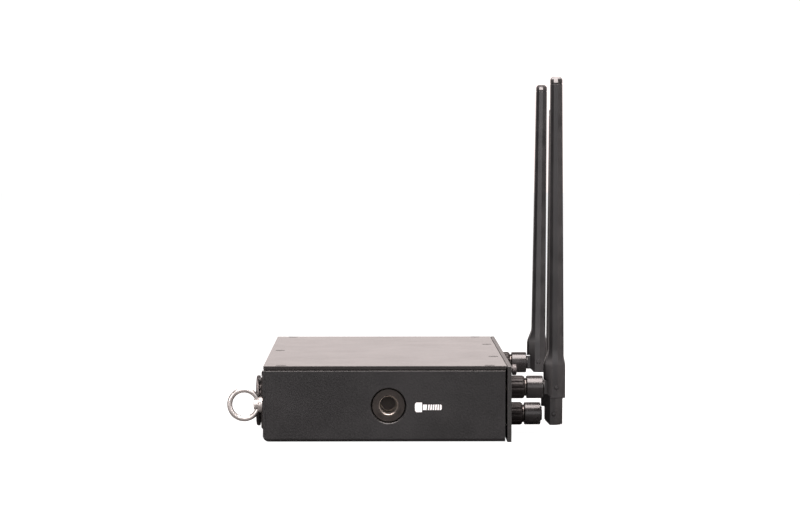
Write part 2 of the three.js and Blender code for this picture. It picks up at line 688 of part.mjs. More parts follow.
function addAntenna({ name, y, z, lean, turn }) {
  const group = new THREE.Group();
  group.position.set(rightFace, y, z);
  unit.add(group);
  const nutEnd = clearance + panelNutLength;
  const couplingStart = nutEnd + threadShowing;
  const couplingEnd = couplingStart + couplingNutLength;
  const endWall = couplingEnd - couplingNutEnd;
  const flangeEnd = endWall - clearance;
  const threadEnd = flangeEnd - knuckleFlangeWidth - clearance;
  const pinPlace = couplingEnd + pinFromNut;
  const seat = -panelSheet - clearance;

  const jackProfile = [
    [0, seat - jackFlangeWidth - jackTailLength],
    [jackTailRadius, seat - jackFlangeWidth - jackTailLength],
    [jackTailRadius, seat - jackFlangeWidth],
    [jackFlangeRadius, seat - jackFlangeWidth],
    [jackFlangeRadius, seat],
    [threadRadius, seat],
    [threadRadius, threadEnd],
    [jackContactRadius, threadEnd],
    [jackContactRadius, threadEnd - jackContactDepth],
    [0, threadEnd - jackContactDepth],
  ];
  addPiece(`${name}_jack`, turned("x", jackProfile), finishes.goldPlate, group);
  const panelNut = ring("x", threadRadius + clearance, panelNutRadius, clearance, nutEnd);
  addPiece(`${name}_panel_nut`, panelNut, finishes.nutPlastic, group);

  const couplingProfile = [
    [threadRadius + clearance, couplingStart],
    [couplingNutRadius, couplingStart],
    [couplingNutRadius, couplingEnd],
    [knuckleStemRadius + clearance, couplingEnd],
    [knuckleStemRadius + clearance, endWall],
    [threadRadius + clearance, endWall],
    [threadRadius + clearance, couplingStart],
  ];
  addPiece(`${name}_coupling_nut`, turned("x", couplingProfile), finishes.nutPlastic, group);

  const elbow = new THREE.Group();
  elbow.rotation.x = THREE.MathUtils.degToRad(turn);
  group.add(elbow);
  const neckStart = couplingEnd + clearance;
  const tongue = new THREE.Shape();
  tongue.moveTo(neckStart, knuckleHalfHeight);
  tongue.lineTo(neckStart, -knuckleHalfHeight);
  tongue.absarc(pinPlace, 0, knuckleHalfHeight, -Math.PI / 2, Math.PI / 2);
  const knuckle = rod("x", knuckleStemRadius, flangeEnd - knuckleFlangeWidth, neckStart + 0.2)
    .add(rod("x", threadRadius - 0.1, flangeEnd - knuckleFlangeWidth, flangeEnd))
    .add(rod("x", knuckleHalfHeight, neckStart, neckStart + knuckleCollarWidth))
    .add(prism("y", tongue, -knuckleHalfThickness, knuckleHalfThickness))
    .subtract(rod("y", pinRadius + clearance, -baseLeft, baseLeft, [pinPlace, 0, 0], hingeSides));
  addPiece(`${name}_knuckle`, knuckle, finishes.mastPlastic, elbow);
  const pinHalf = baseHalfDepth - clearance;
  const pin = rod("y", pinRadius, -pinHalf, pinHalf, [pinPlace, 0, 0], hingeSides);
  addPiece(`${name}_hinge_pin`, pin, finishes.zincSteel, elbow);

  const foot = new THREE.Group();
  foot.position.set(pinPlace, 0, 0);
  foot.rotation.y = THREE.MathUtils.degToRad(lean);
  elbow.add(foot);
  addPiece(`${name}_mast`, mastSolid(), finishes.mastPlastic, foot);
}

// Push button

function addButton() {
  const group = new THREE.Group();
  group.position.set(rightFace, buttonY, buttonZ);
  unit.add(group);
  const bezelFace = clearance + buttonBezelWidth;
  const bushEnd = -panelSheet - buttonBushTail;
  const bezelProfile = [
    [buttonStemRadius + clearance, bushEnd],
    [buttonBushRadius, bushEnd],
    [buttonBushRadius, clearance],
    [buttonBezelRadius, clearance],
    [buttonBezelRadius, bezelFace],
    [buttonStemRadius + clearance, bezelFace],
    [buttonStemRadius + clearance, bushEnd],
  ];
  addPiece("button_bezel", turned("x", bezelProfile), finishes.screwBlack, group);
  const capProfile = [
    [0, -buttonStemLength],
    [buttonStemRadius, -buttonStemLength],
    [buttonStemRadius, buttonStandoff],
    [buttonHeadRadius, buttonStandoff],
    [buttonHeadRadius, buttonStandoff + buttonHeadLength],
    [0, buttonStandoff + buttonHeadLength],
  ];
  addPiece("button_cap", turned("x", capProfile), finishes.nutPlastic, group);
  const half = switchSize / 2;
  const switchFront = -buttonStemLength - buttonTravel - clearance;
  const switchBody = block(switchFront - switchDepth, switchFront, -half, half, -half, half);
  addPiece("button_switch", switchBody, finishes.insertPlastic, group);
}

// Electronics inside the case

function addElectronics() {
  let board = block(boardLeft, boardRight, boardNear, boardFar, boardRise, boardTop);
  for (const { x, y } of standoffPlaces()) {
    board = board.subtract(rod("z", boardHoleRadius, boardRise - 1, boardTop + 1, [x, y, 0], screwSides));
  }
  addPiece("main_board", board, finishes.boardGreen);
  const onBoard = boardTop + clearance;
  const radioRight = boardRight - radioEdgeGap;
  const radioNear = -radioDepth / 2;
  const can = block(
    radioRight - radioWidth,
    radioRight,
    radioNear,
    radioNear + radioDepth,
    onBoard,
    onBoard + radioHeight,
  );
  addPiece("radio_module", can, finishes.zincSteel);
  const powerLeft = boardLeft + powerEdgeGap;
  const power = block(
    powerLeft,
    powerLeft + powerWidth,
    -powerDepth / 2,
    powerDepth / 2,
    onBoard,
    onBoard + powerHeight,
  );
  addPiece("power_module", power, finishes.insertPlastic);
  addPigtails(radioRight, onBoard + radioHeight / 2);
}

// Thin coax from each jack's tail to the radio module's side.
function addPigtails(radioRight, portZ) {
  const tail = rightFace - panelSheet - clearance - jackFlangeWidth - jackTailLength - clearance;
  const portX = radioRight + clearance;
  const straight = 2; // run out of each end before the first bend
  const bend = 3;
  const outline = new THREE.Shape().absarc(0, 0, coaxRadius, 0, Math.PI * 2);
  antennaPlaces.forEach(({ name, y, z }, i) => {
    const portY = (i - 1) * coaxPortPitch;
    const towardsPort = Math.sign(portY - y) * bend;
    const route = new THREE.CatmullRomCurve3([
      new THREE.Vector3(tail, y, z),
      new THREE.Vector3(tail - straight / 2, y, z),
      new THREE.Vector3(tail - straight, y + towardsPort / 4, z),
      new THREE.Vector3(tail - bend, y + towardsPort, z),
      new THREE.Vector3((tail + portX) / 2, (y + portY) / 2, (z + portZ) / 2),
      new THREE.Vector3(portX + bend, portY - towardsPort, portZ),
      new THREE.Vector3(portX + straight, portY - towardsPort / 4, portZ),
      new THREE.Vector3(portX + straight / 2, portY, portZ),
      new THREE.Vector3(portX, portY, portZ),
    ]);
    const tube = new THREE.ExtrudeGeometry(outline, { steps: 20, extrudePath: route, curveSegments: 4 });
    addPiece(`coax_pigtail_${name}`, solid(tube), finishes.coaxBrown);
  });
}

addTray();
addLid();
addPanel();
addRigging();
addEyeBolt();
connectorPlaces.forEach(addConnector);
antennaPlaces.forEach(addAntenna);
addButton();
addElectronics();

export default unit;
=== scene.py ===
import json
import math
import bpy
import bmesh
from mathutils import Matrix, Vector


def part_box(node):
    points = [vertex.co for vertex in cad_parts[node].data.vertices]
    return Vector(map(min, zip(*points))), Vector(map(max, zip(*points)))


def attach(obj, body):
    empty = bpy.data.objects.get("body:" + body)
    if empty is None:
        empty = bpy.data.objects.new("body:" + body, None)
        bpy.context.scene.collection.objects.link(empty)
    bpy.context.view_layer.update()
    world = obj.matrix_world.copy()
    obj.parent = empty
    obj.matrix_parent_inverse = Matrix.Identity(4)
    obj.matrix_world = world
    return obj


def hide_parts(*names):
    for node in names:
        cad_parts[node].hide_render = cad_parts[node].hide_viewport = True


# Looks for a wireless receiver: a black sheet-metal case with three hinged whip antennas.
# Sizes are in millimetres and become metres when a mesh is made.
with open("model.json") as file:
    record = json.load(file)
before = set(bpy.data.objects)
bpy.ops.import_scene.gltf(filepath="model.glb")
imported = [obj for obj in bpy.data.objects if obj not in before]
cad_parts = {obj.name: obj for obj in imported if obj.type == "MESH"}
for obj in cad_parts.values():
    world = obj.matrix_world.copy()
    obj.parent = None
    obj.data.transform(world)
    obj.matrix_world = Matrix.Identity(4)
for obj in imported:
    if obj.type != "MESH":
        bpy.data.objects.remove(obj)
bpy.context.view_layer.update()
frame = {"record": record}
mm = 0.001
gap = 0.3  # between pieces that touch
over = 1  # how far a cutter reaches past what it cuts
antennaNames = ("near_upper", "near_lower", "far_upper")
connectorNames = ("power_inlet", "signal_output", "network_port")
lidScrewNodes = [f"lid_screw_{i}" for i in range(1, 8)]
panelScrewNodes = [f"panel_screw_{i}" for i in range(1, 5)]
trayScrews = 5  # the first five lid screws go into the tray, the others into the antenna panel
bodyOf = {node: body for body, nodes in frame["record"]["behaviour"]["bodies"].items() for node in nodes}


def spanOf(node):
    low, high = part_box(node)
    return Vector(low) / mm, Vector(high) / mm


def centreOf(node):
    low, high = spanOf(node)
    return (low + high) / 2


# Outlines and profiles

def at(axis, along, u, v):
    return Vector({"x": (along, u, v), "y": (u, along, v), "z": (u, v, along)}[axis])


def arc(cx, cy, radius, start, end, steps=12):
    turns = [math.radians(start + (end - start) * i / steps) for i in range(steps + 1)]
    return [(cx + radius * math.cos(t), cy + radius * math.sin(t)) for t in turns]


def roundedRectangle(u0, u1, v0, v1, radius, steps=8):
    points = []
    for u, v, start in ((u1, v1, 0), (u0, v1, 90), (u0, v0, 180), (u1, v0, 270)):
        cu = u - radius if u == u1 else u + radius
        cv = v - radius if v == v1 else v + radius
        points += arc(cu, cv, radius, start, start + 90, steps)
    return points


def polygon(sides, radius, cu=0, cv=0, turn=0):
    return arc(cu, cv, radius, turn, turn + 360 * (sides - 1) / sides, sides - 1)


# rounds a turned profile's corners
def softened(profile, radius, steps=3):
    closed = profile[0] == profile[-1]
    points = [Vector(p) for p in (profile[:-1] if closed else profile)]
    count = len(points)
    result = []
    for i, corner in enumerate(points):
        if not closed and i in (0, count - 1):
            result.append(tuple(corner))
            continue
        before = points[i - 1] - corner
        after = points[(i + 1) % count] - corner
        reach = min(radius, before.length * 0.45, after.length * 0.45)
        start = corner + before.normalized() * reach
        end = corner + after.normalized() * reach
        for step in range(steps + 1):
            t = step / steps
            result.append(tuple(start.lerp(corner, t).lerp(corner.lerp(end, t), t)))
    return result + result[:1] if closed else result


# Meshes

def newPiece(bm):
    bmesh.ops.scale(bm, vec=(mm, mm, mm), verts=bm.verts)
    bmesh.ops.recalc_face_normals(bm, faces=bm.faces)
    return newObject(bm)


def newObject(bm):
    mesh = bpy.data.meshes.new("shape")
    bm.to_mesh(mesh)
    bm.free()
    piece = bpy.data.objects.new("shape", mesh)
    bpy.context.scene.collection.objects.link(piece)
    return piece


def prism(axis, outline, start, end):
    bm = bmesh.new()
    ends = [[bm.verts.new(at(axis, along, u, v)) for u, v in outline] for along in (start, end)]
    count = len(outline)
    for i in range(count):
        j = (i + 1) % count
        bm.faces.new((ends[0][i], ends[0][j], ends[1][j], ends[1][i]))
    bm.faces.new(ends[0])
    bm.faces.new(ends[1][::-1])
    return newPiece(bm)


def block(x0, x1, y0, y1, z0, z1):
    return prism("z", [(x0, y0), (x1, y0), (x1, y1), (x0, y1)], z0, z1)


# a profile of (radius, place along the axis) spun about a line through centre
def turned(axis, profile, centre=(0, 0, 0), steps=64, shape=None):
    bm = bmesh.new()
    middle = Vector(centre)
    closed = profile[0] == profile[-1]
    rows = []
    for radius, along in (profile[:-1] if closed else profile):
        if radius < 1e-6:
            rows.append([bm.verts.new(middle + at(axis, along, 0, 0))])
            continue
        row = []
        for i in range(steps):
            turn = 2 * math.pi * i / steps
            r = shape(radius, along, turn) if shape else radius
            row.append(bm.verts.new(middle + at(axis, along, r * math.cos(turn), r * math.sin(turn))))
        rows.append(row)
    pairs = list(zip(rows, rows[1:])) + ([(rows[-1], rows[0])] if closed else [])
    for lower, upper in pairs:
        for i in range(steps):
            j = (i + 1) % steps
            if len(lower) == 1 and len(upper) == 1:
                continue
            if len(lower) == 1:
                bm.faces.new((lower[0], upper[i], upper[j]))
            elif len(upper) == 1:
                bm.faces.new((lower[i], lower[j], upper[0]))
            else:
                bm.faces.new((lower[i], lower[j], upper[j], upper[i]))
    return newPiece(bm)


def rod(axis, radius, start, end, centre=(0, 0, 0), steps=48):
    return turned(axis, [(0, start), (radius, start), (radius, end), (0, end)], centre, steps)


# a solid through rings of equally many points, lowest first
def loft(rings):
    bm = bmesh.new()
    rows = [[bm.verts.new(point) for point in ring] for ring in rings]
    count = len(rows[0])
    for lower, upper in zip(rows, rows[1:]):
        for i in range(count):
            j = (i + 1) % count
            bm.faces.new((lower[i], lower[j], upper[j], upper[i]))
    bm.faces.new(rows[0][::-1])
    bm.faces.new(rows[-1])
    return newPiece(bm)


def applyModifiers(piece):
    depsgraph = bpy.context.evaluated_depsgraph_get()
    mesh = bpy.data.meshes.new_from_object(piece.evaluated_get(depsgraph))
    old = piece.data
    piece.modifiers.clear()
    piece.data = mesh
    bpy.data.meshes.remove(old)


# puts several meshes into one object without changing their shapes
def joined(pieces):
    bm = bmesh.new()
    for piece in pieces:
        bm.from_mesh(piece.data)
        bpy.data.objects.remove(piece)
    return newObject(bm)


def combine(piece, others, operation):
    for other in others:
        modifier = piece.modifiers.new(operation, "BOOLEAN")
        modifier.operation = operation
        modifier.solver = "EXACT"
        modifier.object = other
    applyModifiers(piece)
    for other in others:
        bpy.data.objects.remove(other)
    return piece


def cut(piece, cutters):
    return combine(piece, [joined(cutters)], "DIFFERENCE")


def weld(piece, others):
    return combine(piece, others, "UNION")


def rounded(piece, width, angle=30, segments=3):
    modifier = piece.modifiers.new("edges", "BEVEL")
    modifier.width = width * mm
    modifier.segments = segments
    modifier.limit_method = "ANGLE"
    modifier.angle_limit = math.radians(angle)
    modifier.miter_outer = "MITER_ARC"
    applyModifiers(piece)
    return piece


def smoothed(piece, angle):
    bm = bmesh.new()
    bm.from_mesh(piece.data)
    bmesh.ops.remove_doubles(bm, verts=bm.verts, dist=2e-7)
    bmesh.ops.recalc_face_normals(bm, faces=bm.faces)
    bm.to_mesh(piece.data)
    bm.free()
    piece.data.shade_smooth()
    piece.data.set_sharp_from_angle(angle=math.radians(angle))
    piece.modifiers.new("normals", "WEIGHTED_NORMAL").keep_sharp = True
    applyModifiers(piece)


# cuts a screw thread into a turned surface between two places along its axis
def helixThread(pitch, depth, start, end):
    def shape(radius, along, turn):
        if not start < along < end:
            return radius
        fade = min(1, (along - start) / pitch, (end - along) / pitch)
        phase = (along / pitch - turn / (2 * math.pi)) % 1
        return radius - depth * fade * abs(2 * phase - 1)
    return shape


def threadRows(radius, start, end, pitch):
    steps = max(2, round((end - start) / pitch * 8))
    return [(radius, start + (end - start) * i / steps) for i in range(steps + 1)]


# Node groups that several finishes share

def newGroup(name, inputs, outputs):
    group = bpy.data.node_groups.new(name, "ShaderNodeTree")
    for label, value in inputs.items():
        kind = "NodeSocketVector" if isinstance(value, tuple) else "NodeSocketFloat"
        group.interface.new_socket(label, in_out="INPUT", socket_type=kind).default_value = value
    for label in outputs:
        group.interface.new_socket(label, in_out="OUTPUT", socket_type="NodeSocketFloat")
    return group, group.nodes.new("NodeGroupInput").outputs, group.nodes.new("NodeGroupOutput").inputs


# sets a socket to a number, or links another node's socket to it
def feed(tree, socket, value):
    if isinstance(value, (int, float)):
        socket.default_value = value
    else:
        tree.links.new(value, socket)


def addMath(tree, operation, a, b=None, c=None, clamp=False):
    node = tree.nodes.new("ShaderNodeMath")
    node.operation = operation
    node.use_clamp = clamp
    for socket, value in zip(node.inputs, (a, b, c)):
        if value is not None:
            feed(tree, socket, value)
    return node.outputs[0]


def addVectorMath(tree, operation, a, b=None):
    node = tree.nodes.new("ShaderNodeVectorMath")
    node.operation = operation
    tree.links.new(a, node.inputs[0])
    if b:
        tree.links.new(b, node.inputs[1])
    return node.outputs["Value" if operation in ("DOT_PRODUCT", "LENGTH") else "Vector"]


def addNoise(tree, vector, scale, detail=2.0, roughness=0.5):
    node = tree.nodes.new("ShaderNodeTexNoise")
    tree.links.new(vector, node.inputs["Vector"])
    node.inputs["Detail"].default_value = detail
    node.inputs["Roughness"].default_value = roughness
    feed(tree, node.inputs["Scale"], scale)
    return node.outputs["Fac"]


def objectPlace(tree):
    return tree.nodes.new("ShaderNodeTexCoord").outputs["Object"]


# the orange-peel skin of powder paint, and the slow drift of its colour
def makePowderCoat():
    group, given, result = newGroup("powderCoat", {"Grain": 1600.0, "Drift": 35.0}, ["Height", "Tone"])
    place = objectPlace(group)
    peel = addNoise(group, place, given["Grain"], 2.5)
    fine = addNoise(group, place, addMath(group, "MULTIPLY", given["Grain"], 2.7), 1.0)
    drift = addNoise(group, place, given["Drift"], 3.0, 0.6)
    tone = addMath(group, "MULTIPLY_ADD", peel, 0.5, addMath(group, "MULTIPLY", drift, 0.5))
    group.links.new(addMath(group, "MULTIPLY_ADD", fine, 0.35, peel), result["Height"])
    group.links.new(tone, result["Tone"])
    return group


# spark-eroded grain of a moulded plastic part
def makeMouldedSkin():
    group, given, result = newGroup("mouldedSkin", {"Grain": 3000.0, "Drift": 90.0}, ["Height", "Tone"])
    place = objectPlace(group)
    cells = group.nodes.new("ShaderNodeTexVoronoi")
    cells.feature = "SMOOTH_F1"
    group.links.new(place, cells.inputs["Vector"])
    group.links.new(given["Grain"], cells.inputs["Scale"])
    group.links.new(cells.outputs["Distance"], result["Height"])
    group.links.new(addNoise(group, place, given["Drift"], 3.0), result["Tone"])
    return group


# rings that a lathe leaves: fine along the axis and across the faces
def makeTurnedLines():
    inputs = {"Centre": (0, 0, 0), "Axis": (1, 0, 0), "Density": 4000.0}
    group, given, result = newGroup("turnedLines", inputs, ["Height", "Tone"])
    place = objectPlace(group)
    offset = addVectorMath(group, "SUBTRACT", place, given["Centre"])
    along = addVectorMath(group, "DOT_PRODUCT", offset, given["Axis"])
    across = addVectorMath(group, "CROSS_PRODUCT", offset, given["Axis"])
    pair = group.nodes.new("ShaderNodeCombineXYZ")
    group.links.new(along, pair.inputs[0])
    group.links.new(addVectorMath(group, "LENGTH", across), pair.inputs[1])
    lines = addNoise(group, pair.outputs[0], given["Density"], 3.0, 0.7)
    blotch = addNoise(group, place, 160.0, 3.0)
    tone = addMath(group, "MULTIPLY_ADD", lines, 0.6, addMath(group, "MULTIPLY", blotch, 0.4))
    group.links.new(lines, result["Height"])
    group.links.new(tone, result["Tone"])
    return group


# paint rubbed thin where edges are handled
def makeEdgeWear():
    group, given, result = newGroup("edgeWear", {"Amount": 0.35, "Breakup": 500.0, "Reach": 0.0004}, ["Mask"])
    bevel = group.nodes.new("ShaderNodeBevel")
    bevel.samples = 4
    group.links.new(given["Reach"], bevel.inputs["Radius"])
    flat = group.nodes.new("ShaderNodeNewGeometry").outputs["Normal"]
    compare = addVectorMath(group, "DOT_PRODUCT", bevel.outputs[0], flat)
    raised = addMath(group, "MULTIPLY_ADD", compare, -6.0, 5.9, clamp=True)
    breakup = addNoise(group, objectPlace(group), given["Breakup"], 4.0, 0.65)
    patchy = addMath(group, "MULTIPLY", addMath(group, "SUBTRACT", breakup, 0.42), 5.0, clamp=True)
    mask = addMath(group, "MULTIPLY", addMath(group, "MULTIPLY", raised, patchy), given["Amount"])
    group.links.new(mask, result["Mask"])
    return group


# thin dust that settles on what faces up
def makeDustFilm():
    group, given, result = newGroup("dustFilm", {"Amount": 0.1, "Breakup": 220.0}, ["Mask"])
    coordinates = group.nodes.new("ShaderNodeTexCoord")
    parts = group.nodes.new("ShaderNodeSeparateXYZ")
    group.links.new(coordinates.outputs["Normal"], parts.inputs[0])
    tilt = addMath(group, "SUBTRACT", parts.outputs["Z"], 0.3)
    upward = addMath(group, "MULTIPLY", tilt, 1.5, clamp=True)
    breakup = addNoise(group, coordinates.outputs["Object"], given["Breakup"], 5.0, 0.7)
    mask = addMath(group, "MULTIPLY", addMath(group, "MULTIPLY", upward, breakup), given["Amount"])
    group.links.new(mask, result["Mask"])
    return group


groups = {
    "powderCoat": makePowderCoat(),
    "mouldedSkin": makeMouldedSkin(),
    "turnedLines": makeTurnedLines(),
    "edgeWear": makeEdgeWear(),
    "dustFilm": makeDustFilm(),
}
print("shared surface groups made")

# Finishes: two colours that the tone moves between, the roughness range, and the surface's relief in mm
looks = {
    "casePaint": {
        "colours": ((0.0014, 0.0014, 0.0016), (0.0090, 0.0089, 0.0096)),
        "roughness": (0.32, 0.48), "specular": 0.43, "surface": "powderCoat",
        "values": {"Grain": 1000.0}, "relief": 0.080, "wear": (0.10, 0.10, 0.10), "dust": 0.05,
    },
    "lidPaint": {
        "colours": ((0.0075, 0.0068, 0.0066), (0.0120, 0.0110, 0.0106)),
        "roughness": (0.195, 0.245), "surface": "powderCoat", "values": {"Grain": 1500.0},
        "relief": 0.010, "wear": (0.10, 0.10, 0.10), "dust": 0.10,
    },
    "panelPaint": {
        "colours": ((0.0075, 0.0072, 0.0071), (0.0120, 0.0115, 0.0114)),
        "roughness": (0.30, 0.42), "surface": "powderCoat", "values": {"Grain": 1500.0},
        "relief": 0.012, "wear": (0.12, 0.12, 0.12), "dust": 0.05,
    },
    "blackScrew": {
        "colours": ((0.012, 0.012, 0.012), (0.035, 0.034, 0.034)), "metallic": 0.85,
        "roughness": (0.28, 0.42), "surface": "turnedLines", "values": {"Axis": (0, 0, 1)},
        "relief": 0.004, "wear": (0.30, 0.29, 0.28),
    },
    "bossSteel": {
        "colours": ((0.026, 0.023, 0.021), (0.056, 0.050, 0.046)), "metallic": 0.9,
        "roughness": (0.38, 0.55), "surface": "turnedLines", "values": {"Axis": (0, 1, 0)},
        "relief": 0.010, "wear": (0.45, 0.43, 0.41),
    },
    "threadSteel": {
        "colours": ((0.34, 0.31, 0.28), (0.56, 0.53, 0.49)), "metallic": 1.0,
        "roughness": (0.34, 0.50), "surface": "turnedLines", "values": {"Axis": (0, 1, 0)},
        "relief": 0.004,
    },
    "brightSteel": {
        "colours": ((0.44, 0.42, 0.405), (0.58, 0.56, 0.54)), "metallic": 1.0,
        "roughness": (0.31, 0.43), "surface": "powderCoat", "values": {"Grain": 900.0, "Drift": 240.0},
        "relief": 0.006,
    },
    "zincSteel": {
        "colours": ((0.45, 0.45, 0.42), (0.62, 0.61, 0.57)), "metallic": 1.0,
        "roughness": (0.30, 0.48), "surface": "powderCoat", "values": {"Grain": 2600.0, "Drift": 300.0},
        "relief": 0.004,
    },
    "bezelMetal": {
        "colours": ((0.036, 0.033, 0.032), (0.062, 0.058, 0.056)), "metallic": 0.75,
        "roughness": (0.42, 0.54), "surface": "turnedLines", "values": {"Axis": (1, 0, 0)},
        "relief": 0.004, "wear": (0.35, 0.34, 0.33),
    },
    "insertPlastic": {
        "colours": ((0.010, 0.010, 0.011), (0.018, 0.018, 0.019)),
        "roughness": (0.45, 0.58), "surface": "mouldedSkin", "values": {"Grain": 2600.0},
        "relief": 0.006,
    },
    "contactMetal": {
        "colours": ((0.55, 0.40, 0.16), (0.78, 0.62, 0.30)), "metallic": 1.0,
        "roughness": (0.18, 0.32), "surface": "powderCoat", "values": {"Grain": 1800.0},
        "relief": 0.003,
    },
    "platedThread": {
        "colours": ((0.52, 0.48, 0.42), (0.72, 0.68, 0.61)), "metallic": 1.0,
        "roughness": (0.18, 0.30), "surface": "turnedLines", "values": {"Axis": (1, 0, 0)},
        "relief": 0.003,
    },
    "washerSteel": {
        "colours": ((0.045, 0.040, 0.038), (0.085, 0.078, 0.074)), "metallic": 0.9,
        "roughness": (0.20, 0.32), "surface": "turnedLines", "values": {"Axis": (1, 0, 0)},
        "relief": 0.003,
    },
    "nutPlastic": {
        "colours": ((0.0105, 0.0096, 0.0098), (0.0175, 0.0162, 0.0165)),
        "roughness": (0.22, 0.30), "surface": "mouldedSkin", "values": {"Grain": 3400.0},
        "relief": 0.003, "dust": 0.04,
    },
    "ribbedPlastic": {
        "colours": ((0.0050, 0.0036, 0.0034), (0.0085, 0.0062, 0.0060)),
        "roughness": (0.48, 0.60), "specular": 0.20, "surface": "mouldedSkin", "values": {"Grain": 3000.0},
        "relief": 0.004, "dust": 0.05,
    },
    "mastPlastic": {
        "colours": ((0.0050, 0.0049, 0.0053), (0.0082, 0.0080, 0.0086)),
        "roughness": (0.28, 0.37), "specular": 0.58, "surface": "mouldedSkin", "values": {"Grain": 2400.0},
        "relief": 0.005, "dust": 0.04,
    },
    "mastCap": {
        "colours": ((0.0110, 0.0105, 0.0105), (0.0160, 0.0152, 0.0152)),
        "roughness": (0.14, 0.22), "surface": "mouldedSkin", "values": {"Grain": 2000.0},
        "relief": 0.002,
    },
    "buttonPlastic": {
        "colours": ((0.045, 0.040, 0.040), (0.065, 0.059, 0.059)),
        "roughness": (0.30, 0.42), "surface": "mouldedSkin", "values": {"Grain": 3000.0},
        "relief": 0.003,
    },
    "boardGreen": {
        "colours": ((0.012, 0.085, 0.030), (0.020, 0.130, 0.050)),
        "roughness": (0.28, 0.40), "surface": "mouldedSkin", "values": {"Grain": 1200.0, "Drift": 60.0},
        "relief": 0.004,
    },
    "coaxJacket": {
        "colours": ((0.12, 0.055, 0.022), (0.18, 0.085, 0.036)),
        "roughness": (0.30, 0.45), "surface": "mouldedSkin", "values": {"Grain": 2500.0},
        "relief": 0.003,
    },
    "markInk": {
        "colours": ((0.66, 0.66, 0.66), (0.78, 0.78, 0.78)),
        "roughness": (0.45, 0.60), "surface": "powderCoat", "values": {"Grain": 1500.0},
        "relief": 0.010,
    },
}


def addGroup(tree, name, values):
    node = tree.nodes.new("ShaderNodeGroup")
    node.node_tree = groups[name]
    for label, value in values.items():
        node.inputs[label].default_value = value
    return node.outputs


def mixColour(tree, factor, first, second):
    node = tree.nodes.new("ShaderNodeMix")
    node.data_type = "RGBA"
    tree.links.new(factor, node.inputs["Factor"])
    for socket, value in zip([s for s in node.inputs if s.type == "RGBA"], (first, second)):
        if isinstance(value, tuple):
            socket.default_value = (*value, 1.0)
        else:
            tree.links.new(value, socket)
    return next(s for s in node.outputs if s.type == "RGBA")


toneSpan = (0.34, 0.66)  # the part of a surface group's tone that spreads over a finish's range
wearAmount = 0.35
dustColour = (0.30, 0.28, 0.26)


def makeFinish(name, centre=None):
    look = looks[name]
    material = bpy.data.materials.new(name)
    material.use_nodes = True
    tree = material.node_tree
    shader = tree.nodes["Principled BSDF"]
    shader.inputs["Metallic"].default_value = look.get("metallic", 0.0)
    shader.inputs["Specular IOR Level"].default_value = look.get("specular", 0.5)
    values = dict(look["values"])
    if look["surface"] == "turnedLines":
        values["Centre"] = tuple(c * mm for c in centre or (0, 0, 0))
    surface = addGroup(tree, look["surface"], values)
    tone = tree.nodes.new("ShaderNodeMapRange")
    tree.links.new(surface["Tone"], tone.inputs["Value"])
    tone.inputs["From Min"].default_value, tone.inputs["From Max"].default_value = toneSpan
    colour = mixColour(tree, tone.outputs[0], *look["colours"])
    if "wear" in look:
        wear = addGroup(tree, "edgeWear", {"Amount": wearAmount})
        colour = mixColour(tree, wear["Mask"], colour, look["wear"])
    if "dust" in look:
        dust = addGroup(tree, "dustFilm", {"Amount": look["dust"]})
        colour = mixColour(tree, dust["Mask"], colour, dustColour)
    tree.links.new(colour, shader.inputs["Base Color"])
    smoothest, roughest = look["roughness"]
    roughness = addMath(tree, "MULTIPLY_ADD", tone.outputs[0], roughest - smoothest, smoothest)
    tree.links.new(roughness, shader.inputs["Roughness"])
    bump = tree.nodes.new("ShaderNodeBump")
    bump.inputs["Strength"].default_value = 1.0
    bump.inputs["Distance"].default_value = look["relief"] * mm
    tree.links.new(surface["Height"], bump.inputs["Height"])
    tree.links.new(bump.outputs[0], shader.inputs["Normal"])
    return material


made = {}


def finishOf(name, centre=None):
    key = (name, tuple(round(c, 2) for c in centre) if centre else None)
    if key not in made:
        made[key] = makeFinish(name, centre)
    return made[key]


# names a finished piece, gives it its finish and fastens it to its body
def settle(piece, name, body, nodes, finishes, centre=None, angle=42):
    smoothed(piece, angle)
    piece.name = name
    piece.data.name = name
    if not piece.data.materials:
        for finish in finishes:
            piece.data.materials.append(finishOf(finish, centre))
    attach(piece, body)
    if nodes:
        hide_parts(*nodes)


# Case

caseShape = {
    "sheet": 1.5, "floorBend": 3.8, "sideBend": 2.0, "topRound": 0.9, "innerRound": 0.5,
    "seamInset": 1.2, "seamWidth": 0.3, "seamDepth": 0.9, "returnWidth": 11,
    "tabHalf": 4.5, "tabReach": 4.5, "screwHole": 1.55, "edge": 0.5, "windowLip": 0.35,
    "connectorHole": 12.1, "standoff": 3, "standoffInset": 6,
    "lap": 0.2,  # how far a fold or tab runs into its wall
    "wallBand": 20,  # a lid screw closer to a wall than this has its tab on that wall
}
panelShape = {"sheet": 2.3, "corner": 0.6, "edge": 0.3, "jackHole": 5.05, "buttonHole": 3.5}
lidShape = {"corner": 0.8, "edge": 0.15}


def centresOf(nodes):
    return [centreOf(node) for node in nodes]


def boardScrews():
    low, high = spanOf("main_board")
    inset = caseShape["standoffInset"]
    return [(x, y, 0) for x in (low.x + inset, high.x - inset) for y in (low.y + inset, high.y - inset)]


def trayBlock(inset, floorBend, sideBend, topRound, top, end):
    low, high = spanOf("base_tray")
    left, near, far = low.x + inset, low.y + inset, high.y - inset
    along = [(end, inset), (end, top)]
    along += arc(left + topRound, top - topRound, topRound, 90, 180)
    along += arc(left + floorBend, inset + floorBend, floorBend, 180, 270)
    across = arc(far - topRound / 2, top - topRound / 2, topRound / 2, 0, 90, 6)
    across += arc(near + topRound / 2, top - topRound / 2, topRound / 2, 90, 180, 6)
    across += arc(near + sideBend, inset + sideBend, sideBend, 180, 270)
    across += arc(far - sideBend, inset + sideBend, sideBend, 270, 360)
    return combine(prism("y", along, near, far), [prism("x", across, left - over, end + over)], "INTERSECT")


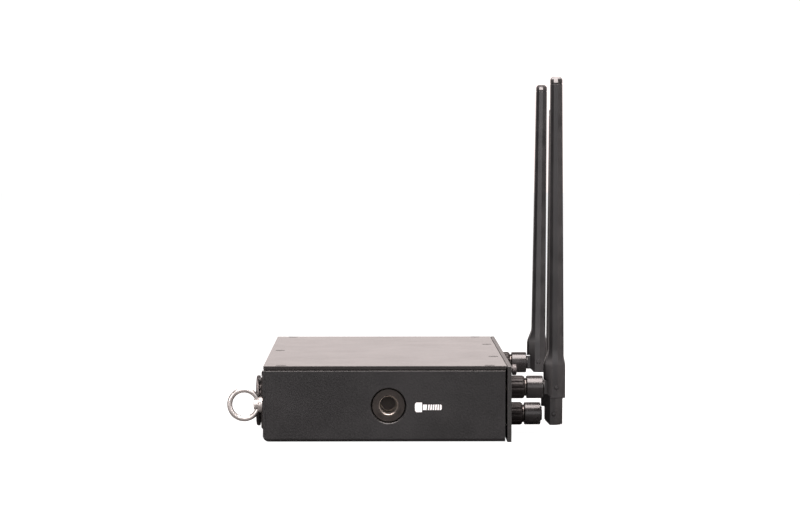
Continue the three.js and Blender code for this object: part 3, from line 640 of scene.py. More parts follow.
# the end's flanges, the tabs under the lid screws and the board's standoffs
def trayFolds(low, high, screws):
    shape = caseShape
    sheet, top, end, lap = shape["sheet"], high.z, high.x, shape["lap"]
    folds = []
    for side, y in ((1, low.y), (-1, high.y)):
        y0, y1 = sorted((y + side * (sheet - lap), y + side * (sheet + shape["returnWidth"])))
        folds.append(block(end - sheet, end, y0, y1, sheet - lap, top - sheet))
    half, reach = shape["tabHalf"], shape["tabReach"]
    for screw in screws:
        x0, x1, y0, y1 = screw.x - half, screw.x + half, screw.y - half, screw.y + half
        if screw.y < low.y + shape["wallBand"]:
            y0, y1 = low.y + sheet - lap, screw.y + reach
        elif screw.y > high.y - shape["wallBand"]:
            y0, y1 = screw.y - reach, high.y - sheet + lap
        else:
            x0, x1 = low.x + sheet - lap, screw.x + reach
        folds.append(block(x0, x1, y0, y1, top - sheet, top))
    board = spanOf("main_board")[0]
    for place in boardScrews():
        folds.append(rod("z", shape["standoff"], sheet - lap, board.z - gap, place, 6))
    return folds


# the boss's window, the seam by the near left corner, and the holes for connectors and screws
def trayHoles(low, high, screws):
    shape = caseShape
    sheet, top, end = shape["sheet"], high.z, high.x
    boss, seam = centreOf("rigging_boss"), low.x + shape["seamInset"]
    window, lip = bossShape["radius"] + gap, shape["windowLip"]
    profile = [(0, -over), (window + lip + over, -over), (window + lip, 0), (window, lip)]
    profile += [(window, sheet + 0.5), (0, sheet + 0.5)]

    def throughWall(radius, node, steps):
        middle = centreOf(node)
        return rod("x", radius, low.x - over, low.x + sheet + over, (0, middle.y, middle.z), steps)

    holes = [
        turned("y", profile, (boss.x, low.y, boss.z), 96),
        block(seam, seam + shape["seamWidth"], low.y - over, low.y + shape["seamDepth"],
              shape["floorBend"], top + over),
        throughWall(eyeShape["hole"], "eye_bolt_nut", 48),
    ]
    for name in connectorNames:
        holes.append(throughWall(shape["connectorHole"], f"{name}_insert", 72))
        holes += [throughWall(shape["screwHole"], f"{name}_screw_{side}", 24) for side in "ab"]
    for screw in screws:
        holes.append(rod("z", shape["screwHole"], top - sheet - over, top + over, (screw.x, screw.y, 0), 24))
    for screw in centresOf(panelScrewNodes):
        holes.append(rod("x", shape["screwHole"], end - sheet - over, end + over, (0, screw.y, screw.z), 24))
    return holes


def buildTray():
    shape = caseShape
    low, high = spanOf("base_tray")
    sheet, inner = shape["sheet"], shape["innerRound"]
    tray = trayBlock(0, shape["floorBend"], shape["sideBend"], shape["topRound"], high.z, high.x)
    hollow = trayBlock(sheet, shape["floorBend"] - sheet, inner, inner, high.z + over, high.x + over)
    combine(tray, [hollow], "DIFFERENCE")
    screws = centresOf(lidScrewNodes[:trayScrews])
    weld(tray, trayFolds(low, high, screws))
    cut(tray, trayHoles(low, high, screws))
    rounded(tray, shape["edge"], 40)
    settle(tray, "receiver_tray", "housing", ["base_tray"], ["casePaint"])


screwShape = {
    "head": 2.8, "headDepth": 1.6, "shank": 1.25, "length": 8.0, "pitch": 0.5, "threadDepth": 0.24,
    "recess": 1.1,
}
recessShape = {"length": 1.45, "width": 0.34, "mouth": 1.15, "tip": 0.55, "above": 0.4}


# the hole that a countersunk screw sits in
def countersink():
    shape = screwShape
    head, shank = shape["head"] + gap, shape["shank"] + gap
    end, seat = -shape["length"] - gap, -shape["headDepth"] - gap
    return [(0, end), (shank, end), (shank, seat), (head, 0), (head, over), (0, over)]


def buildLid():
    low, high = spanOf("lid")
    outline = roundedRectangle(low.x, high.x, low.y, high.y, lidShape["corner"])
    lid = prism("z", outline, low.z, high.z)
    cut(lid, [turned("z", countersink(), (s.x, s.y, high.z), 48) for s in centresOf(lidScrewNodes)])
    rounded(lid, lidShape["edge"], 25)
    settle(lid, "receiver_lid", "housing", ["lid"], ["lidPaint"])


def buildPanel():
    low, high = spanOf("antenna_panel")
    inner = high.x - panelShape["sheet"]
    outline = roundedRectangle(low.y, high.y, low.z, high.z, panelShape["corner"])
    panel = prism("x", outline, inner, high.x)
    top = spanOf("base_tray")[1].z
    half, reach, sheet = caseShape["tabHalf"], caseShape["tabReach"], caseShape["sheet"]
    inside = inner + caseShape["lap"]
    screws = centresOf(lidScrewNodes[trayScrews:])
    weld(panel, [block(s.x - reach, inside, s.y - half, s.y + half, top - sheet, top) for s in screws])
    hole = caseShape["screwHole"]
    cutters = [rod("z", hole, top - sheet - over, top + over, (s.x, s.y, 0), 24) for s in screws]
    for screw in centresOf(panelScrewNodes):
        cutters.append(turned("x", countersink(), (high.x, screw.y, screw.z), 48))
    for name in antennaNames:
        jack = centreOf(f"{name}_jack")
        cutters.append(rod("x", panelShape["jackHole"], inner - over, high.x + over, (0, jack.y, jack.z), 64))
    button = centreOf("button_cap")
    place = (0, button.y, button.z)
    cutters.append(rod("x", panelShape["buttonHole"], inner - over, high.x + over, place, 48))
    cut(panel, cutters)
    rounded(panel, panelShape["edge"], 25)
    settle(panel, "antenna_panel_plate", "housing", ["antenna_panel"], ["panelPaint"])


# a tapered cross, as a driver's tip leaves it
def crossRecess(axis, centre, face, depth, outward):
    shape = recessShape
    levels = ((shape["mouth"], face + outward * shape["above"]), (shape["tip"], face - outward * depth))
    tools = []
    for upright in (False, True):
        rings = []
        for share, along in levels:
            u, v = shape["length"] * share, shape["width"]
            if upright:
                u, v = v, u
            corners = [(u, v), (-u, v), (-u, -v), (u, -v)]
            rings.append([Vector(centre) + at(axis, along, a, b) for a, b in corners])
        tools.append(loft(rings))
    return tools


def buildCountersunkScrews():
    shape = screwShape
    head, shank, end, seat = shape["head"], shape["shank"], -shape["length"], -shape["headDepth"]
    profile = [(0, end), (shank - 0.3, end)] + threadRows(shank, end + 0.3, seat - 0.6, shape["pitch"])
    profile += [(shank, seat), (head - 0.05, -0.12), (head - 0.08, -0.04), (head - 0.2, 0), (0, 0)]
    thread = helixThread(shape["pitch"], shape["threadDepth"], end + 0.2, seat - 0.5)
    for node in lidScrewNodes + panelScrewNodes:
        axis = "z" if node in lidScrewNodes else "x"
        middle, high = centreOf(node), spanOf(node)[1]
        place = (middle.x, middle.y, high.z) if axis == "z" else (high.x, middle.y, middle.z)
        screw = turned(axis, profile, place, 32, thread)
        combine(screw, crossRecess(axis, place, 0, shape["recess"], 1), "DIFFERENCE")
        settle(screw, f"{node}_body", "housing", [node], ["blackScrew"], place)


# Rigging boss, its bracket and the safety eye

bossShape = {
    "radius": 9.75, "rim": 0.5, "rimDepth": 4, "mouth": 5.75, "mouthDepth": 1.5, "bore": 5.0, "core": 4.3,
    "boreDepth": 15.5, "pitch": 1.5, "threadDepth": 0.95, "collar": 12, "collarWidth": 3,
}
bracketShape = {"wall": 5, "foot": 3, "bend": 2, "hole": 10.05, "edge": 0.4}


def buildBoss():
    shape = bossShape
    low, high = spanOf("rigging_boss")
    middle = centreOf("rigging_boss")
    centre = (middle.x, 0, middle.z)
    face, back, radius, bore = low.y, high.y, shape["radius"], shape["bore"]
    floor, start = face + shape["boreDepth"], face + shape["mouthDepth"]
    collar = spanOf("rigging_bracket")[0].y + bracketShape["wall"] + gap
    collarBack = collar + shape["collarWidth"]
    neck, step = radius - shape["rim"], face + shape["rimDepth"]
    outer = [(shape["mouth"] - 0.2, face + 0.3), (shape["mouth"], face), (neck, face), (neck, step)]
    outer += [(radius, step), (radius, collar), (shape["collar"], collar), (shape["collar"], collarBack)]
    outer += [(radius, collarBack), (radius, back), (0, back)]
    profile = [(0, floor), (shape["core"], floor)] + threadRows(bore, floor - 0.5, start, shape["pitch"])
    profile += [(bore + 0.1, start - 0.2), (bore + 0.45, start - 0.5), (bore + 0.5, face + 0.5)]
    thread = helixThread(shape["pitch"], shape["threadDepth"], start, floor - 0.3)

    def inBore(radius, along, turn):
        return thread(radius, along, turn) if abs(radius - bore) < 0.01 else radius

    boss = turned("y", profile + softened(outer, 0.15), centre, 96, inBore)
    boss.data.materials.append(finishOf("bossSteel", centre))
    boss.data.materials.append(finishOf("threadSteel", centre))
    for facet in boss.data.polygons:
        place = facet.center / mm
        reach = math.hypot(place.x - middle.x, place.z - middle.z)
        inside = face + 0.5 < place.y < floor - 0.1 and reach < bore + 0.6
        facet.material_index = 1 if inside else 0
    settle(boss, "rigging_boss_body", "housing", ["rigging_boss"], [], angle=35)


def buildBracket():
    shape = bracketShape
    low, high = spanOf("rigging_bracket")
    boss = centreOf("rigging_boss")
    wall, foot, bend = low.y + shape["wall"], low.z + shape["foot"], shape["bend"]
    outline = [(low.y, low.z), (high.y, low.z), (high.y, foot)]
    outline += arc(wall + bend, foot + bend, bend, 270, 180, 6) + [(wall, high.z), (low.y, high.z)]
    bracket = prism("x", outline, low.x, high.x)
    cut(bracket, [rod("y", shape["hole"], low.y - over, wall + over, (boss.x, 0, boss.z), 64)])
    rounded(bracket, shape["edge"], 30)
    settle(bracket, "rigging_bracket_plate", "housing", ["rigging_bracket"], ["zincSteel"])


eyeShape = {
    "inner": 6.75, "wire": 1.5, "collar": 4.45, "collarWidth": 2.6, "root": 3.05, "shank": 2.45,
    "pitch": 0.8, "threadDepth": 0.4, "hole": 2.75, "nutAcross": 8, "nutFace": 4.3, "nutCorner": 4.75,
}


# a ring of round wire that lies in a plane along x and z
def wireRing(middle, major, minor, around=128, about=32):
    bm = bmesh.new()
    rows = []
    for i in range(around):
        turn = 2 * math.pi * i / around
        row = []
        for j in range(about):
            tilt = 2 * math.pi * j / about
            reach = major + minor * math.cos(tilt)
            offset = Vector((reach * math.cos(turn), minor * math.sin(tilt), reach * math.sin(turn)))
            row.append(bm.verts.new(middle + offset))
        rows.append(row)
    for i in range(around):
        for j in range(about):
            a, b, k = rows[i], rows[(i + 1) % around], (j + 1) % about
            bm.faces.new((a[j], b[j], b[k], a[k]))
    return newPiece(bm)


def buildEyeBolt():
    shape = eyeShape
    low, high = spanOf("eye_bolt")
    inner, wire, end = shape["inner"], shape["wire"], high.x
    middle = Vector((low.x + inner + 2 * wire, (low.y + high.y) / 2, centreOf("eye_bolt_nut").z))
    centre = (0, middle.y, middle.z)
    eye = wireRing(middle, inner + wire, wire)
    face = spanOf("base_tray")[0].x - gap
    collar, front = shape["collar"], face - shape["collarWidth"]
    collarProfile = [(0, front), (collar - 0.5, front), (collar, front + 0.7), (collar, face), (0, face)]
    root, rootStart, rootEnd = shape["root"], middle.x + inner - 1.25, face - 1
    rootProfile = [(0, rootStart), (root, rootStart), (root, rootEnd), (0, rootEnd)]
    shank = shape["shank"]
    shankProfile = [(0, rootEnd), (shank - 0.3, rootEnd)]
    shankProfile += threadRows(shank, face - 0.8, end - 0.5, shape["pitch"]) + [(shank - 0.5, end), (0, end)]
    thread = helixThread(shape["pitch"], shape["threadDepth"], face + 0.4, end - 0.3)
    weld(eye, [
        turned("x", softened(collarProfile, 0.3), centre, 64),
        turned("x", softened(rootProfile, 0.9, 5), centre, 64),
        turned("x", shankProfile, centre, 48, thread),
    ])
    settle(eye, "safety_eye", "housing", ["eye_bolt"], ["brightSteel"], angle=50)
    buildEyeNut(centre)


def buildEyeNut(centre):
    shape = eyeShape
    low, high = spanOf("eye_bolt_nut")
    face, corner, start, end = shape["nutFace"], shape["nutCorner"], low.x, high.x
    nut = prism("x", polygon(6, shape["nutAcross"] / math.sqrt(3), centre[1], centre[2]), start, end)
    cone = [(0, start), (face, start), (corner, start + 0.5), (corner, end - 0.5), (face, end), (0, end)]
    combine(nut, [turned("x", softened(cone, 0.1), centre, 64)], "INTERSECT")
    cut(nut, [rod("x", shape["hole"], start - over, end + over, centre)])
    rounded(nut, 0.12, 35)
    settle(nut, "safety_eye_nut", "housing", ["eye_bolt_nut"], ["zincSteel"])


# Connectors on the left wall

connectorShape = {
    "flange": 31, "corner": 3.5, "thickness": 1.3, "groove": 13, "grooveWidth": 1.1, "bezel": 14.6,
    "bezelWidth": 2, "barrel": 11.8, "socket": 10.5, "slope": 0.9, "insert": 10.2,
}


def buildConnector(name):
    shape = connectorShape
    tail = spanOf(f"{name}_shell")[1].x
    middle = centreOf(f"{name}_insert")
    y, z = middle.y, middle.z
    centre = (0, y, z)
    half = shape["flange"] / 2
    back = spanOf("base_tray")[0].x - gap
    front = back - shape["thickness"]
    rings = []
    for along, inset in ((back, 0), (front + shape["slope"], 0), (front, shape["slope"])):
        reach = half - inset
        corner = shape["corner"] - inset / 2
        outline = roundedRectangle(y - reach, y + reach, z - reach, z + reach, corner)
        rings.append([at("x", along, u, v) for u, v in outline])
    shell = loft(rings)
    rim = front - shape["grooveWidth"]
    edge = rim - shape["bezelWidth"]
    if name == "power_inlet":
        body = [(shape["socket"], tail), (shape["socket"], edge + 0.9), (shape["socket"] + 0.9, edge)]
        body += [(shape["bezel"] - 0.5, edge), (shape["bezel"], edge + 0.5), (shape["bezel"], rim - 0.15)]
        body += [(shape["bezel"] - 0.15, rim), (shape["groove"], rim), (shape["groove"], back - 0.2)]
    else:
        body = [(shape["socket"], tail), (shape["socket"], front + 0.2), (shape["barrel"], front + 0.2)]
    body += [(shape["barrel"], back - 0.2), (shape["barrel"], tail), (shape["socket"], tail)]
    weld(shell, [turned("x", softened(body, 0.12), centre, 112)])
    cutters = [rod("x", shape["socket"], front - 0.5, back + 0.5, centre, 112)]
    for side in "ab":
        screw = centreOf(f"{name}_screw_{side}")
        cutters.append(rod("x", caseShape["screwHole"], front - over, back + 0.6, (0, screw.y, screw.z), 24))
    cut(shell, cutters)
    rounded(shell, 0.1, 38, 2)
    settle(shell, f"{name}_body", "housing", [f"{name}_shell"], ["bezelMetal"], centre)
    for side in "ab":
        buildFlangeScrew(f"{name}_screw_{side}")
    buildInsert(name, centre)


flangeScrewShape = {
    "head": 2.3, "dome": 0.9, "seat": 1.6, "shank": 1.25, "pitch": 0.5, "threadDepth": 0.24, "recess": 1.0,
}


def buildFlangeScrew(node):
    shape = flangeScrewShape
    low, high = spanOf(node)
    middle = centreOf(node)
    place = (0, middle.y, middle.z)
    head, dome, shank, top, seat = shape["head"], shape["dome"], shape["shank"], low.x, low.x + shape["seat"]
    turns = [math.radians(a) for a in range(0, 91, 15)]
    profile = [(head * math.sin(t), top + dome - dome * math.cos(t)) for t in turns]
    profile += [(head, seat - 0.1), (head - 0.1, seat), (shank, seat)]
    profile += threadRows(shank, seat + 0.4, high.x - 0.3, shape["pitch"])
    profile += [(shank - 0.35, high.x), (0, high.x)]
    thread = helixThread(shape["pitch"], shape["threadDepth"], seat + 0.6, high.x - 0.2)
    screw = turned("x", profile, place, 40, thread)
    combine(screw, crossRecess("x", place, top + 0.1, shape["recess"], -1), "DIFFERENCE")
    settle(screw, f"{node}_body", "housing", [node], ["blackScrew"], place)


def buildInsert(name, centre):
    low, high = spanOf(f"{name}_insert")
    radius, face = connectorShape["insert"], low.x
    profile = [(0, face), (radius, face), (radius, high.x), (0, high.x)]
    insert = turned("x", softened(profile, 0.3), centre, 96)
    y, z = centre[1:]
    contacts = []
    if name == "network_port":
        step = [(y - 5.9, z - 4.2), (y - 3.0, z - 4.2), (y - 3.0, z - 5.2), (y + 3.0, z - 5.2)]
        step += [(y + 3.0, z - 4.2), (y + 5.9, z - 4.2), (y + 5.9, z + 3.8), (y - 5.9, z + 3.8)]
        cut(insert, [prism("x", step, face - 1, face + 9)])
        for i in range(8):
            place = y + (i - 3.5) * 1.02
            bar = [(face + 1.2, z + 3.9), (face + 1.2, z + 3.5), (face + 7.5, z + 1.2)]
            bar += [(face + 7.8, z + 1.5), (face + 2.2, z + 3.9)]
            contacts.append(prism("y", bar, place - 0.18, place + 0.18))
    else:
        circle, hole = (5, 1.7) if name == "power_inlet" else (4, 1.3)
        tools = []
        for i in range(3):
            turn = math.radians(90 + 120 * i)
            place = (0, y + circle * math.cos(turn), z + circle * math.sin(turn))
            tools.append(rod("x", hole, face - 1, face + 5, place, 40))
            pin = [(0, face + 0.6), (hole * 0.55, face + 0.9), (hole * 0.55, face + 5.2), (0, face + 5.2)]
            contacts.append(turned("x", softened(pin, 0.2), place, 32))
        key = 1.6
        tools.append(block(face - 1, face + 4, y - key, y + key, z + radius - 1.3, z + radius + 1))
        cut(insert, tools)
    rounded(insert, 0.12, 40, 2)
    settle(insert, f"{name}_core", "housing", [f"{name}_insert"], ["insertPlastic"])
    settle(joined(contacts), f"{name}_contacts", "housing", [], ["contactMetal"])


# Antennas

antennaShape = {
    "thread": 4.75, "threadPitch": 1.0, "nutFlutes": 12, "fluteDepth": 0.38, "neckRadius": 3.0,
    "tongueHalfHeight": 4.2, "tongueHalf": 2.5, "pin": 1.15, "pinHalf": 4.9, "pinGap": 0.12,
}
mastShape = {
    "below": 6.4, "top": 12.4, "length": 179.5, "left": 7.2, "right": 5.4, "depth": 5.0,
    "flareRight": 6.5, "flareLeft": 10.0, "foot": 4.5, "head": 3.45, "depthShare": 0.92,
    "flatLeft": 2.3, "flatRight": 0.75, "cap": 4.0, "slope": 3.4, "cheek": 5.0, "chamfer": 8.7,
    "lean": {"near_upper": -0.1, "near_lower": 0.15, "far_upper": 1.0},
    "turn": {"near_upper": 0, "near_lower": 0, "far_upper": -6},
}


# turns an elbow's piece about the line through its coupling nut
def elbowTurn(name, pin):
    middle = Matrix.Translation(pin * mm)
    return middle @ Matrix.Rotation(math.radians(mastShape["turn"][name]), 4, "X") @ middle.inverted()


def buildJack(name):
    low, high = spanOf(f"{name}_jack")
    middle = centreOf(f"{name}_jack")
    centre = (0, middle.y, middle.z)
    panel = spanOf("antenna_panel")[1].x
    seat = panel - panelShape["sheet"] - gap
    pitch, radius = antennaShape["threadPitch"], antennaShape["thread"]
    profile = [(0, low.x), (2.5, low.x), (2.5, seat - 2), (7, seat - 2), (7, seat), (radius - 0.2, seat)]
    profile = softened(profile + [(radius, seat + 0.5)], 0.2)
    profile += threadRows(radius, seat + 0.7, high.x - 0.4, pitch)
    profile += [(radius - 0.5, high.x), (2.4, high.x), (2.4, high.x - 5), (0, high.x - 5)]
    thread = helixThread(pitch, 0.5, seat + 0.6, high.x - 0.3)

    def onThread(r, along, turn):
        return thread(r, along, turn) if 4.5 < r < 5 else r

    jack = turned("x", profile, centre, 64, onThread)
    settle(jack, f"{name}_jack_body", "housing", [f"{name}_jack"],
           ["platedThread"], centre, 35)
    # the washer that shows as a bright ring between the two nuts
    nut = spanOf(f"{name}_panel_nut")[1].x
    coupling = spanOf(f"{name}_coupling_nut")[0].x
    inner, outer = radius + 0.12, radius + 0.45
    ring = [(inner, nut + 0.15), (outer, nut + 0.15), (outer, coupling - 0.25), (inner, coupling - 0.25)]
    washer = turned("x", softened(ring + ring[:1], 0.15), centre, 64)
    settle(washer, f"{name}_washer", "housing", [], ["washerSteel"], centre)


def buildPanelNut(name):
    low, high = spanOf(f"{name}_panel_nut")
    middle = centreOf(f"{name}_panel_nut")
    outer = (high.z - low.z) / 2
    inner = antennaShape["thread"] + gap
    depth, flutes = antennaShape["fluteDepth"], antennaShape["nutFlutes"]
    steps = 7
    body = [(outer, low.x + 0.35 + (high.x - low.x - 1.4) * i / steps) for i in range(steps + 1)]
    profile = [(inner, low.x), (outer - 0.35, low.x)] + body
    profile += [(outer - 0.7, high.x), (inner, high.x), (inner, low.x)]

    def fluted(radius, along, turn):
        if radius < outer - 0.4:
            return radius
        hollow = abs(math.cos(flutes * turn / 2)) ** 6
        return radius - depth * hollow

    nut = turned("x", profile, (0, middle.y, middle.z), 240, fluted)
    settle(nut, f"{name}_panel_nut_body", "housing", [f"{name}_panel_nut"],
           ["ribbedPlastic"], angle=32)


def buildCouplingNut(name):
    low, high = spanOf(f"{name}_coupling_nut")
    middle = centreOf(f"{name}_coupling_nut")
    outer = (high.z - low.z) / 2
    inner = antennaShape["thread"] + gap
    neck = antennaShape["neckRadius"] + gap
    wall = high.x - 2.6
    profile = [
        (inner, low.x), (outer - 0.35, low.x), (outer, low.x + 0.35), (outer, high.x - 0.35),
        (outer - 0.35, high.x), (neck, high.x), (neck, wall), (inner, wall), (inner, low.x),
    ]
    nut = turned("x", softened(profile, 0.2, 4), (0, middle.y, middle.z), 96)
    settle(nut, f"{name}_coupling_nut_body", f"{name}_nut", [f"{name}_coupling_nut"],
           ["nutPlastic"])


def buildKnuckle(name):
    tail = spanOf(f"{name}_knuckle")[0].x
    pin = centreOf(f"{name}_hinge_pin")
    shape = antennaShape
    nutEnd = spanOf(f"{name}_coupling_nut")[1].x
    centre = (0, pin.y, pin.z)
    start = nutEnd + gap
    half = shape["tongueHalfHeight"]
    tongue = [(start + 0.2, -half), (pin.x, -half)] + arc(pin.x, 0, half, -90, 90, 20)
    tongue.append((start + 0.2, half))
    outline = [(x, z + pin.z) for x, z in tongue]
    knuckle = prism("y", outline, pin.y - shape["tongueHalf"], pin.y + shape["tongueHalf"])
    rounded(knuckle, 0.35, 30)
    stem = [(0, tail), (4.65, tail), (4.65, tail + 0.9), (shape["neckRadius"], tail + 0.9)]
    stem += [(shape["neckRadius"], start), (half - 0.1, start), (half - 0.1, start + 0.6), (0, start + 0.6)]
    weld(knuckle, [turned("x", softened(stem, 0.2), centre, 64)])
    cut(knuckle, [rod("y", shape["pin"] + shape["pinGap"], pin.y - 8, pin.y + 8, (pin.x, 0, pin.z), 40)])
    knuckle.data.transform(elbowTurn(name, pin))
    settle(knuckle, f"{name}_knuckle_body", f"{name}_elbow", [f"{name}_knuckle"],
           ["mastPlastic"])
    radius, half = shape["pin"], shape["pinHalf"]
    profile = [(0, -half), (radius - 0.2, -half), (radius, 0.2 - half)]
    profile += [(radius, half - 0.2), (radius - 0.2, half), (0, half)]
    hinge = turned("y", softened(profile, 0.1), pin, 40)
    hinge.data.transform(elbowTurn(name, pin))
    return hinge


def mastSection(left, right, depth, flatLeft, flatRight):
    def side(edge, flat):
        return [(flat, depth), (flat + (edge - flat) * 0.78, depth * 0.56), (edge, depth * 0.2)]

    upper = side(right, flatRight)[::-1] + side(-left, -flatLeft)
    return upper + [(x, -y) for x, y in upper[::-1]]


def ease(t):
    t = min(1, max(0, t))
    return t * t * (3 - 2 * t)


# sections of the mast from its foot to its tip, about the hinge pin
def mastRings():
    shape = mastShape
    top, length = shape["top"], shape["length"]

    def sectionAt(z):
        rise = (z - top) / shape["flareLeft"]
        riseRight = (z - top) / shape["flareRight"]
        thin = max(0, (z - top - shape["flareLeft"]) / (length - top - shape["flareLeft"]))
        half = shape["foot"] + (shape["head"] - shape["foot"]) * thin
        left = shape["left"] + (half - shape["left"]) * ease(rise)
        right = shape["right"] + (half - shape["right"]) * ease(riseRight)
        depth = shape["depth"] + (half * shape["depthShare"] - shape["depth"]) * ease(rise)
        flatLeft = shape["flatLeft"] * (1 - 0.3 * thin)
        return [left, right, depth, flatLeft, shape["flatRight"]]

    rings = []

    def add(z, shareX=1.0, shareY=1.0):
        left, right, depth, flatLeft, flatRight = sectionAt(z)
        flats = min(1, shareX + 0.1)
        sides = (left * shareX, right * shareX, depth * shareY)
        ring = mastSection(*sides, flatLeft * flats, flatRight * flats)
        rings.append([Vector((x, y, z)) for x, y in ring])

    add(-shape["below"], 0.95, 0.95)
    add(-shape["below"] + 0.5)
    add(top * 0.5)
    for i in range(13):
        add(top + shape["flareLeft"] * i / 12)
    body = length - shape["cap"]
    for i in range(1, 6):
        add(top + shape["flareLeft"] + (body - top - shape["flareLeft"]) * i / 6)
    add(body - 0.35)
    add(body - 0.15, 0.94, 0.93)
    add(body + 0.15, 0.94, 0.93)
    add(body + 0.35)
    start = length - shape["slope"]
    for share in (0.0, 0.2, 0.4, 0.6, 0.75, 0.88, 0.96, 1.0):
        z = start + shape["slope"] * share
        edge = max(0, (share - 0.45) / 0.55)
        add(z, 1 - 0.42 * edge ** 2, max(0.14, 1 - share ** 1.35 * 0.86))
    return rings


def buildMast(name, hinge):
    shape = mastShape
    pin = centreOf(f"{name}_hinge_pin")
    mast = loft(mastRings())
    slotHigh = antennaShape["tongueHalfHeight"] + gap
    slotHalf = antennaShape["tongueHalf"] + gap
    wide = shape["left"] + 2
    slot = [(-wide, -wide), (slotHigh, -wide), (slotHigh, slotHigh), (-wide, slotHigh)]
    combine(mast, [prism("y", slot, -slotHalf, slotHalf)], "DIFFERENCE")
    cheek, chamfer = shape["cheek"], wide - shape["chamfer"]
    cheek = [(-wide, slotHigh), (-wide, -wide), (-cheek, -wide), (-cheek, slotHigh)]
    corner = [(-wide, chamfer), (-wide, -wide - 1), (chamfer + 1, -wide - 1)]
    combine(mast, [prism("y", cheek, -wide, wide)], "DIFFERENCE")
    combine(mast, [prism("y", corner, -wide, wide)], "DIFFERENCE")
    cut(mast, [rod("y", antennaShape["pin"] + antennaShape["pinGap"], -wide, wide, (0, 0, 0), 40)])
    rounded(mast, 0.28, 12, 3)
    lean = Matrix.Rotation(math.radians(shape["lean"][name]), 4, "Y")
    mast.data.transform(elbowTurn(name, pin) @ Matrix.Translation(pin * mm) @ lean)
    mast.data.materials.append(finishOf("mastPlastic"))
    mast.data.materials.append(finishOf("mastCap"))
    capStart = (pin.z + shape["length"] - shape["cap"] + 0.05) * mm
    for face in mast.data.polygons:
        if face.center.z > capStart:
            face.material_index = 1
    settle(mast, f"{name}_whip_body", f"{name}_whip", [f"{name}_mast"], [], angle=30)
    settle(hinge, f"{name}_pin", bodyOf[f"{name}_hinge_pin"], [f"{name}_hinge_pin"],
           ["mastPlastic"])


def buildAntennas():
    for name in antennaNames:
        buildJack(name)
        buildPanelNut(name)
        buildCouplingNut(name)
        buildMast(name, buildKnuckle(name))
        print("antenna", name, "made")


# Push button

def buildButton():
    low, high = spanOf("button_cap")
    middle = centreOf("button_cap")
    centre = (0, middle.y, middle.z)
    head, stem = 3.25, 1.9
    seat = high.x - 2.6
    bend = 0.55
    dome = [(head - bend + bend * math.sin(t), high.x - bend + bend * math.cos(t))
            for t in (math.radians(a) for a in range(90, -1, -15))]
    profile = [(0, low.x), (stem, low.x), (stem, seat), (head - 0.2, seat), (head, seat + 0.2)] + dome
    profile += [(head - 1.1, high.x), (head - 1.6, high.x - 0.18), (0, high.x - 0.22)]
    cap = turned("x", profile, centre, 72)
    settle(cap, "button_cap_body", "button", ["button_cap"], ["buttonPlastic"], angle=35)
    low, high = spanOf("button_bezel")
    rim, bush, inner = (high.z - low.z) / 2, 3.2, 2.2
    panel = spanOf("antenna_panel")[1].x
    back = panel + gap
    profile = [(inner, low.x), (bush, low.x), (bush, back), (rim, back), (rim, high.x - 0.4)]
    profile += [(rim - 0.4, high.x), (inner + 0.4, high.x), (inner, high.x - 0.4), (inner, low.x)]
    bezel = turned("x", softened(profile, 0.15), centre, 72)
    settle(bezel, "button_bezel_body", "housing", ["button_bezel"], ["blackScrew"], centre)


# Bolt sign by the rigging hole

signShape = {
    "start": 15.8, "end": 31.0, "low": 17.0, "high": 22.5, "ink": 0.03, "head": 4.0, "corner": 0.8,
    "shankHalf": 1.55,
}


def buildBoltSign():
    shape = signShape
    wall = spanOf("base_tray")[0].y
    start, end, low, high, cut45 = shape["start"], shape["end"], shape["low"], shape["high"], shape["corner"]
    headEnd = start + shape["head"]
    middle, half = (low + high) / 2, shape["shankHalf"]
    under, upper = middle - half, middle + half
    outlines = [
        [(start, low + cut45), (start + cut45, low), (headEnd, low),
         (headEnd, high), (start + cut45, high), (start, high - cut45)],
        [(headEnd + 0.5, under), (headEnd + 2.6, under), (headEnd + 2.9, upper), (headEnd + 0.5, upper)],
    ]
    place = headEnd + 3.3
    while place < end - 1.4:
        outlines.append([(place, under), (place + 0.85, under), (place + 1.15, upper), (place + 0.3, upper)])
        place += 1.35
    outlines.append([(place, under), (end - 0.5, under), (end, under + 0.5),
                     (end, upper - 0.5), (end - 0.5, upper), (place + 0.3, upper)])
    sign = joined([prism("y", outline, wall - shape["ink"], wall + 0.01) for outline in outlines])
    settle(sign, "bolt_sign", "housing", [], ["markInk"])


# Electronics, closed in the case

